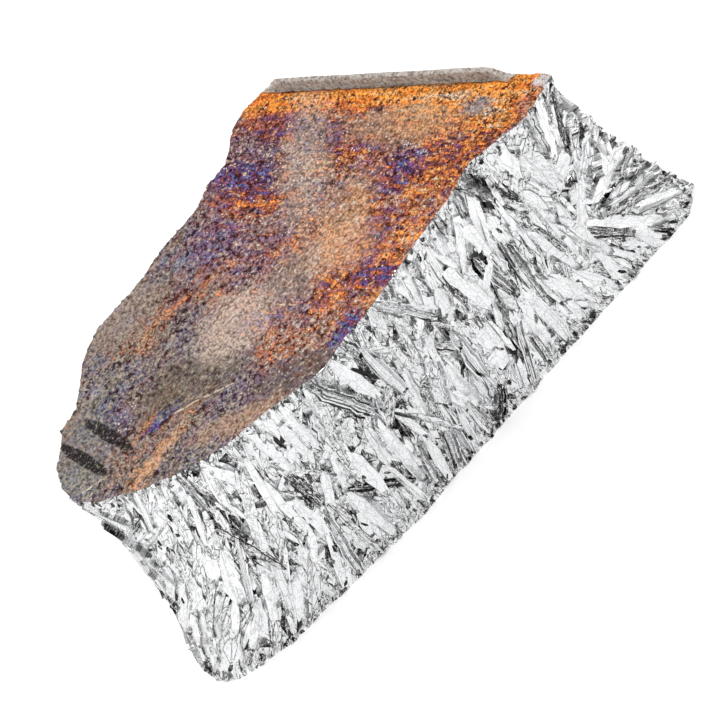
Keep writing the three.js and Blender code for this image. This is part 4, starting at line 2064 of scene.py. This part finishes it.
@dataclass(frozen=True)
class OxideSkin:
    """The tarnished top: interference colours of a thin oxide film over fine granules, with worn places,
    painted shade in the hollows and creases, and painted highlights and glints on the granules.
    """

    name: str = "tarnished_cast_skin"
    metallic: float = 0.35
    lip_colour: Colour = srgb(206, 198, 190)
    ink_colour: Colour = srgb(24, 16, 15)
    tip_dull: Colour = srgb(134, 123, 110)
    middle_dull: Colour = srgb(142, 118, 112)
    wall_dull: Colour = srgb(190, 146, 108)

    def make(self) -> bpy.types.Material:
        """Build the finish."""
        graph = Graph(self.name)
        wall = graph.attribute("wall_distance")
        warp = graph.noise(graph.place, 0.55, 3.0, 0.65)
        shaken = self._shaken(graph)
        granules = graph.noise(graph.place, 1.3, 2.5, 0.65)
        tipward, inward = self._tipward(graph)
        film, vivid = self._film(graph, wall, shaken, granules, tipward)
        colour = graph.ramp(film, FILM_COLOURS)
        colour = self._dull(graph, colour, vivid, granules, tipward, inward)
        colour = self._hollow_shade(graph, colour, wall, granules)
        worn: Feed = 0.0
        for patch in WORN_PATCHES:
            mask = graph.patch(shaken, patch.x, patch.y, patch.half, patch.turn, patch.soft)
            broken = graph.times(mask, graph.step(granules, 0.37, 0.44, 0.5 * patch.strength, patch.strength))
            colour = graph.mix(broken, colour, patch.tone.value)
            worn = graph.most(worn, broken)
        colour = self._speckle_and_highlights(graph, colour, granules, worn, vivid, tipward)
        colour = self._scratches(graph, colour)
        colour = self._lip(graph, colour, wall, warp)
        colour = self._ink(graph, colour, shaken)
        rough = graph.step(granules, 0.35, 0.65, 0.6, 0.34)
        grit = graph.noise(graph.place, 3.6, 3.0, 0.7)
        relief = graph.plus(granules, graph.times(grit, 0.5))
        graph.bump(relief, 1.0)
        return graph.finish(colour, self.metallic, rough, specular=0.15)

    @staticmethod
    def _shaken(graph: Graph) -> Socket:
        """Return the place, shaken so that patches get ragged edges."""
        reach = 6.5
        joined = graph.tree.nodes.new("ShaderNodeCombineXYZ")
        for axis, turn in enumerate((20.0, 75.0)):
            turned_place = graph.stretch(graph.place, turn, (1.0, 1.0, 1.0), 40.0 * axis)
            wander = graph.noise(turned_place, 0.5, 5.0, 0.8)
            graph.feed(joined.inputs[axis], graph.swing(wander, reach))
        return graph.vector("ADD", graph.place, joined.outputs[0])

    @staticmethod
    def _tipward(graph: Graph) -> tuple[Socket, Socket]:
        """Return how far a place lies towards the slab's tip, and how far from the corner by the wall."""
        x, y, _ = graph.axes()
        broad = graph.noise(graph.place, 0.13, 3.0, 0.6)
        lean = graph.times(y, 0.42)
        reach = graph.minus(x, lean)
        reach = graph.plus(reach, graph.swing(broad, 16.0))
        return graph.step(reach, -16.0, -3.0, 1.0, 0.0), graph.step(reach, 2.0, 20.0, 1.0, 0.0)

    @staticmethod
    def _film(
        graph: Graph, wall: Socket, shaken: Socket, granules: Socket, tipward: Socket
    ) -> tuple[Socket, Socket]:
        """Return the film's thickness, 0 to 1, and how vividly it shows there.

        Args:
            graph: The material's nodes.
            wall: The distance from the lipped rim.
            shaken: The shaken place.
            granules: The height of the granules.
            tipward: The share of the tip's half.

        Returns:
            The thickness and the vividness.
        """
        broad = graph.noise(graph.place, 0.10, 3.0, 0.6)
        film = graph.step(broad, 0.36, 0.64, 0.34, 0.74)
        film = graph.plus(film, graph.times(tipward, 0.12))
        ragged = graph.plus(wall, graph.swing(broad, 6.0))
        band = graph.step(ragged, 4.5, 7.0, 0.27, 0.47)
        near = graph.step(ragged, 4.8, 9.0, 1.0, 0.0)
        film = graph.blend(near, film, band)
        vivid = graph.times(graph.step(ragged, 4.6, 6.6, 1.0, 0.0), 0.9)
        for patch in FILM_PATCHES:
            mask = graph.patch(shaken, patch.x, patch.y, patch.half, patch.turn, patch.soft)
            share = graph.times(mask, patch.strength)
            film = graph.blend(share, film, patch.film.value)
            vivid = graph.most(vivid, share)
        lipwards = graph.streaks(123.0, (0.14, 0.9, 1.0))
        tipwards = graph.streaks(5.0, (0.16, 0.6, 1.0))
        blotches = graph.streaks(118.0, (0.45, 1.1, 1.0), 5.0)
        streak = graph.blend(graph.step(wall, 4.0, 11.0), lipwards, graph.blend(tipward, blotches, tipwards))
        spread = graph.step(wall, 1.5, 8.0, 0.6, 1.5)
        film = graph.plus(film, graph.swing(streak, spread))
        speck = graph.swing(granules, 0.42)
        return graph.plus(film, graph.times(speck, spread)), vivid

    def _dull(
        self, graph: Graph, colour: Socket, vivid: Socket, granules: Socket, tipward: Socket, inward: Socket
    ) -> Socket:
        """Lay the dusty oxide over all that isn't vivid: olive grey at the tip, taupe, and tan by the wall.

        Args:
            graph: The material's nodes.
            colour: The film's colour.
            vivid: How vividly the film shows.
            granules: The height of the granules.
            tipward: The share of the tip's half.
            inward: The distance from the corner by the wall, 0 to 1.

        Returns:
            The dulled colour.
        """
        dusty = graph.noise(graph.place, 0.42, 4.0, 0.7)
        plain = graph.mix(tipward, graph.mix(inward, self.wall_dull, self.middle_dull), self.tip_dull)
        thin, thick = graph.blend(inward, 0.10, 0.50), graph.blend(inward, 0.72, 1.0)
        share = graph.step(dusty, 0.38, 0.56, thin, thick)
        share = graph.blend(tipward, share, graph.step(dusty, 0.38, 0.56, 0.74, 1.0))
        share = graph.times(share, graph.step(vivid, 0.1, 0.9, 1.0, 0.06))
        bare = graph.blend(tipward, graph.blend(inward, 0.25, 0.5), 0.6)
        tops = graph.step(granules, 0.46, 0.52)
        share = graph.times(share, graph.blend(tops, bare, 1.0))
        return graph.mix(share, colour, plain)

    @staticmethod
    def _hollow_shade(graph: Graph, colour: Socket, wall: Socket, granules: Socket) -> Socket:
        """Paint shade into the hollows between the granules, along the edges of the grain cells, and into the
        fine creases that run along the lip.
        """
        zones = graph.noise(graph.place, 0.45, 3.0, 0.7)
        # Painted shade in the hollows between the granules.
        low = graph.minus(granules, graph.step(zones, 0.36, 0.64, 0.05, -0.07))
        hollow = graph.step(low, 0.39, 0.43)
        colour = graph.tinted(colour, graph.mix(hollow, (0.14, 0.06, 0.08), (1.0,) * 3))
        # Painted shade along the edges of the grain cells.
        rims = graph.step(graph.cells(graph.place, 1.9, "DISTANCE_TO_EDGE"), 0.02, 0.13, 1.0, 0.0)
        rims = graph.times(rims, graph.step(zones, 0.40, 0.56, 0.75, 0.10))
        colour = graph.mix(rims, colour, srgb(58, 34, 34))
        # Painted shade in the fine creases along the lip.
        folds = graph.streaks(123.0, (0.10, 1.1, 1.0), 17.0)
        crease = graph.step(graph.gap(folds, 0.5), 0.012, 0.045, 1.0, 0.0)
        crease = graph.times(crease, graph.step(wall, 5.0, 8.0, 0.2, 0.85))
        crease = graph.times(crease, graph.step(wall, 10.0, 28.0, 1.0, 0.25))
        return graph.mix(graph.times(crease, graph.step(zones, 0.42, 0.50)), colour, srgb(54, 26, 28))

    @staticmethod
    def _speckle_and_highlights(
        graph: Graph, colour: Socket, granules: Socket, worn: Socket, vivid: Socket, tipward: Socket
    ) -> Socket:
        """Break the colour up over the fine grains with painted light and shade, paint highlights on the tops
        of the granules, and paint bright glints.

        Args:
            graph: The material's nodes.
            colour: The colour so far.
            granules: The height of the granules.
            worn: How worn the place is; worn places are smoother.
            vivid: How vividly the film shows; its grains keep their colour.
            tipward: The share of the tip's half, which is smoother.

        Returns:
            The speckled colour.
        """
        fine = graph.noise(graph.place, 2.4, 1.5, 0.6)
        # Painted light and shade over the fine grains.
        light = graph.step(fine, 0.38, 0.62, 0.60, 2.06)
        light = graph.blend(graph.times(worn, 0.55), light, 1.15)
        tint = graph.tinted(colour, light)
        # Painted highlights on the tops of the granules.
        top = graph.step(granules, 0.60, 0.64, 0.0, 0.75)
        tops = graph.mix(graph.step(vivid, 0.1, 0.7), srgb(232, 214, 194), srgb(250, 192, 116))
        tint = graph.mix(graph.times(top, graph.blend(tipward, 1.0, 0.5)), tint, tops)
        # Painted bright glints, crowded in the glint fields.
        dots = graph.cells(graph.place, 1.5)
        chosen = graph.step(graph.noise(graph.place, 0.7, 3.0, 0.6), 0.50, 0.60)
        chosen = graph.times(chosen, graph.blend(tipward, 1.0, 0.45))
        for x, y, half, turn in GLINT_FIELDS:
            chosen = graph.most(chosen, graph.patch(graph.place, x, y, half, turn, 0.6))
        bright = graph.times(graph.step(dots, 0.17, 0.25, 0.95, 0.0), chosen)
        return graph.mix(bright, tint, srgb(246, 236, 224))

    @staticmethod
    def _scratches(graph: Graph, colour: Socket) -> Socket:
        """Draw the bright scratches, broken where they skip over hollows."""
        skips = graph.step(graph.noise(graph.place, 0.8, 4.0, 0.8), 0.44, 0.52)
        for scratch in SCRATCHES:
            half = (scratch.half_length, scratch.half_width)
            mask = graph.patch(graph.place, scratch.x, scratch.y, half, scratch.turn, 0.3)
            colour = graph.mix(graph.times(mask, skips), colour, srgb(226, 208, 184))
        return colour

    def _lip(self, graph: Graph, colour: Socket, wall: Socket, warp: Socket) -> Socket:
        """Paint the lip's plain metal, and painted shadow in the crease at its inner foot."""
        ragged = graph.plus(wall, graph.swing(warp, 0.7))
        on_lip = graph.step(ragged, 1.15, 1.35, 1.0, 0.0)
        stain = graph.noise(graph.place, 1.6, 4.0, 0.75)
        plain = graph.mix(graph.step(stain, 0.38, 0.56), srgb(140, 126, 116), self.lip_colour)
        colour = graph.mix(on_lip, colour, plain)
        # Painted shadow in the crease at the lip's inner foot.
        crease = graph.gap(ragged, 1.38)
        dark = graph.step(crease, 0.05, 0.22, 0.65, 0.0)
        return graph.mix(dark, colour, srgb(62, 40, 26))

    def _ink(self, graph: Graph, colour: Socket, shaken: Socket) -> Socket:
        """Draw two plain straight pen bars side by side, worn off the tops of the granules."""
        near = graph.mix(0.16, graph.place, shaken)
        bars = [graph.patch(near, x, -2.0, (6.0, 1.0), 100.0, 0.12) for x in (-39.0, -34.0)]
        worn = graph.step(graph.noise(graph.place, 1.9, 4.0, 0.8), 0.54, 0.60, 0.96, 0.0)
        return graph.mix(graph.times(graph.most(*bars), worn), colour, self.ink_colour)


@dataclass(frozen=True)
class CastMetal:
    """The dull, fine-grained metal of the faces that lay against the mould, with flow lines and gas pores,
    the pores darkened with painted shade.
    """

    name: str = "dull_cast_bismuth"
    metallic: float = 0.75
    bare: Colour = srgb(172, 168, 164)
    dusty: Colour = srgb(138, 132, 128)
    yellowed: Colour = srgb(190, 166, 134)
    flushed: Colour = srgb(170, 132, 122)
    # the pores' painted shade, also the colour of the dark seams in the flow lines
    pore: Colour = srgb(58, 52, 50)
    tarnish_from: float = 24.0

    def make(self) -> bpy.types.Material:
        """Build the finish."""
        graph = Graph(self.name)
        height = graph.axes()[2]
        broad = graph.noise(graph.place, 0.10, 5.0, 0.7)
        grains = graph.noise(graph.place, 1.6, 3.0, 0.7)
        flow = graph.noise(graph.stretch(graph.place, 0.0, (0.07, 0.07, 0.55)), 1.0, 5.0, 0.75)
        colour = graph.mix(graph.step(flow, 0.40, 0.60), self.dusty, self.bare)
        colour = graph.mix(graph.step(broad, 0.44, 0.64, 0.0, 0.5), colour, self.yellowed)
        flush = graph.times(graph.step(broad, 0.38, 0.54), graph.step(height, self.tarnish_from, 37.0))
        colour = graph.mix(graph.times(flush, 0.42), colour, self.flushed)
        light = graph.step(grains, 0.36, 0.64, 0.72, 1.22)
        colour = graph.tinted(colour, light)
        # Painted shade in the gas pores.
        pores = graph.step(graph.cells(graph.place, 0.55), 0.10, 0.20, 1.0, 0.0)
        pores = graph.times(pores, graph.step(graph.noise(graph.place, 0.16, 3.0, 0.6), 0.46, 0.56))
        colour = graph.mix(graph.times(pores, 0.85), colour, self.pore)
        seam = graph.step(graph.gap(flow, 0.5), 0.004, 0.016, 1.0, 0.0)
        seam = graph.times(seam, graph.step(broad, 0.46, 0.54, 0.7, 0.0))
        colour = graph.mix(seam, colour, self.pore)
        relief = graph.minus(grains, graph.times(graph.plus(pores, seam), 0.8))
        graph.bump(graph.plus(relief, flow), 0.25)
        return graph.finish(colour, self.metallic, graph.step(grains, 0.3, 0.7, 0.52, 0.34))


def main() -> None:
    """Build the chunk and its studio."""
    logging.basicConfig(level=logging.INFO, format="%(name)s: %(message)s")
    form = CastForm()
    chunk = BismuthChunk(form).build()
    for finish in (FreshFracture(), OxideSkin(), CastMetal()):
        chunk.data.materials.append(finish.make())
        LOG.info("finished %s", finish.name)
    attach(chunk, "root")
    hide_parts(NODE)
    Studio().build()


if __name__ == "__main__":
    main()
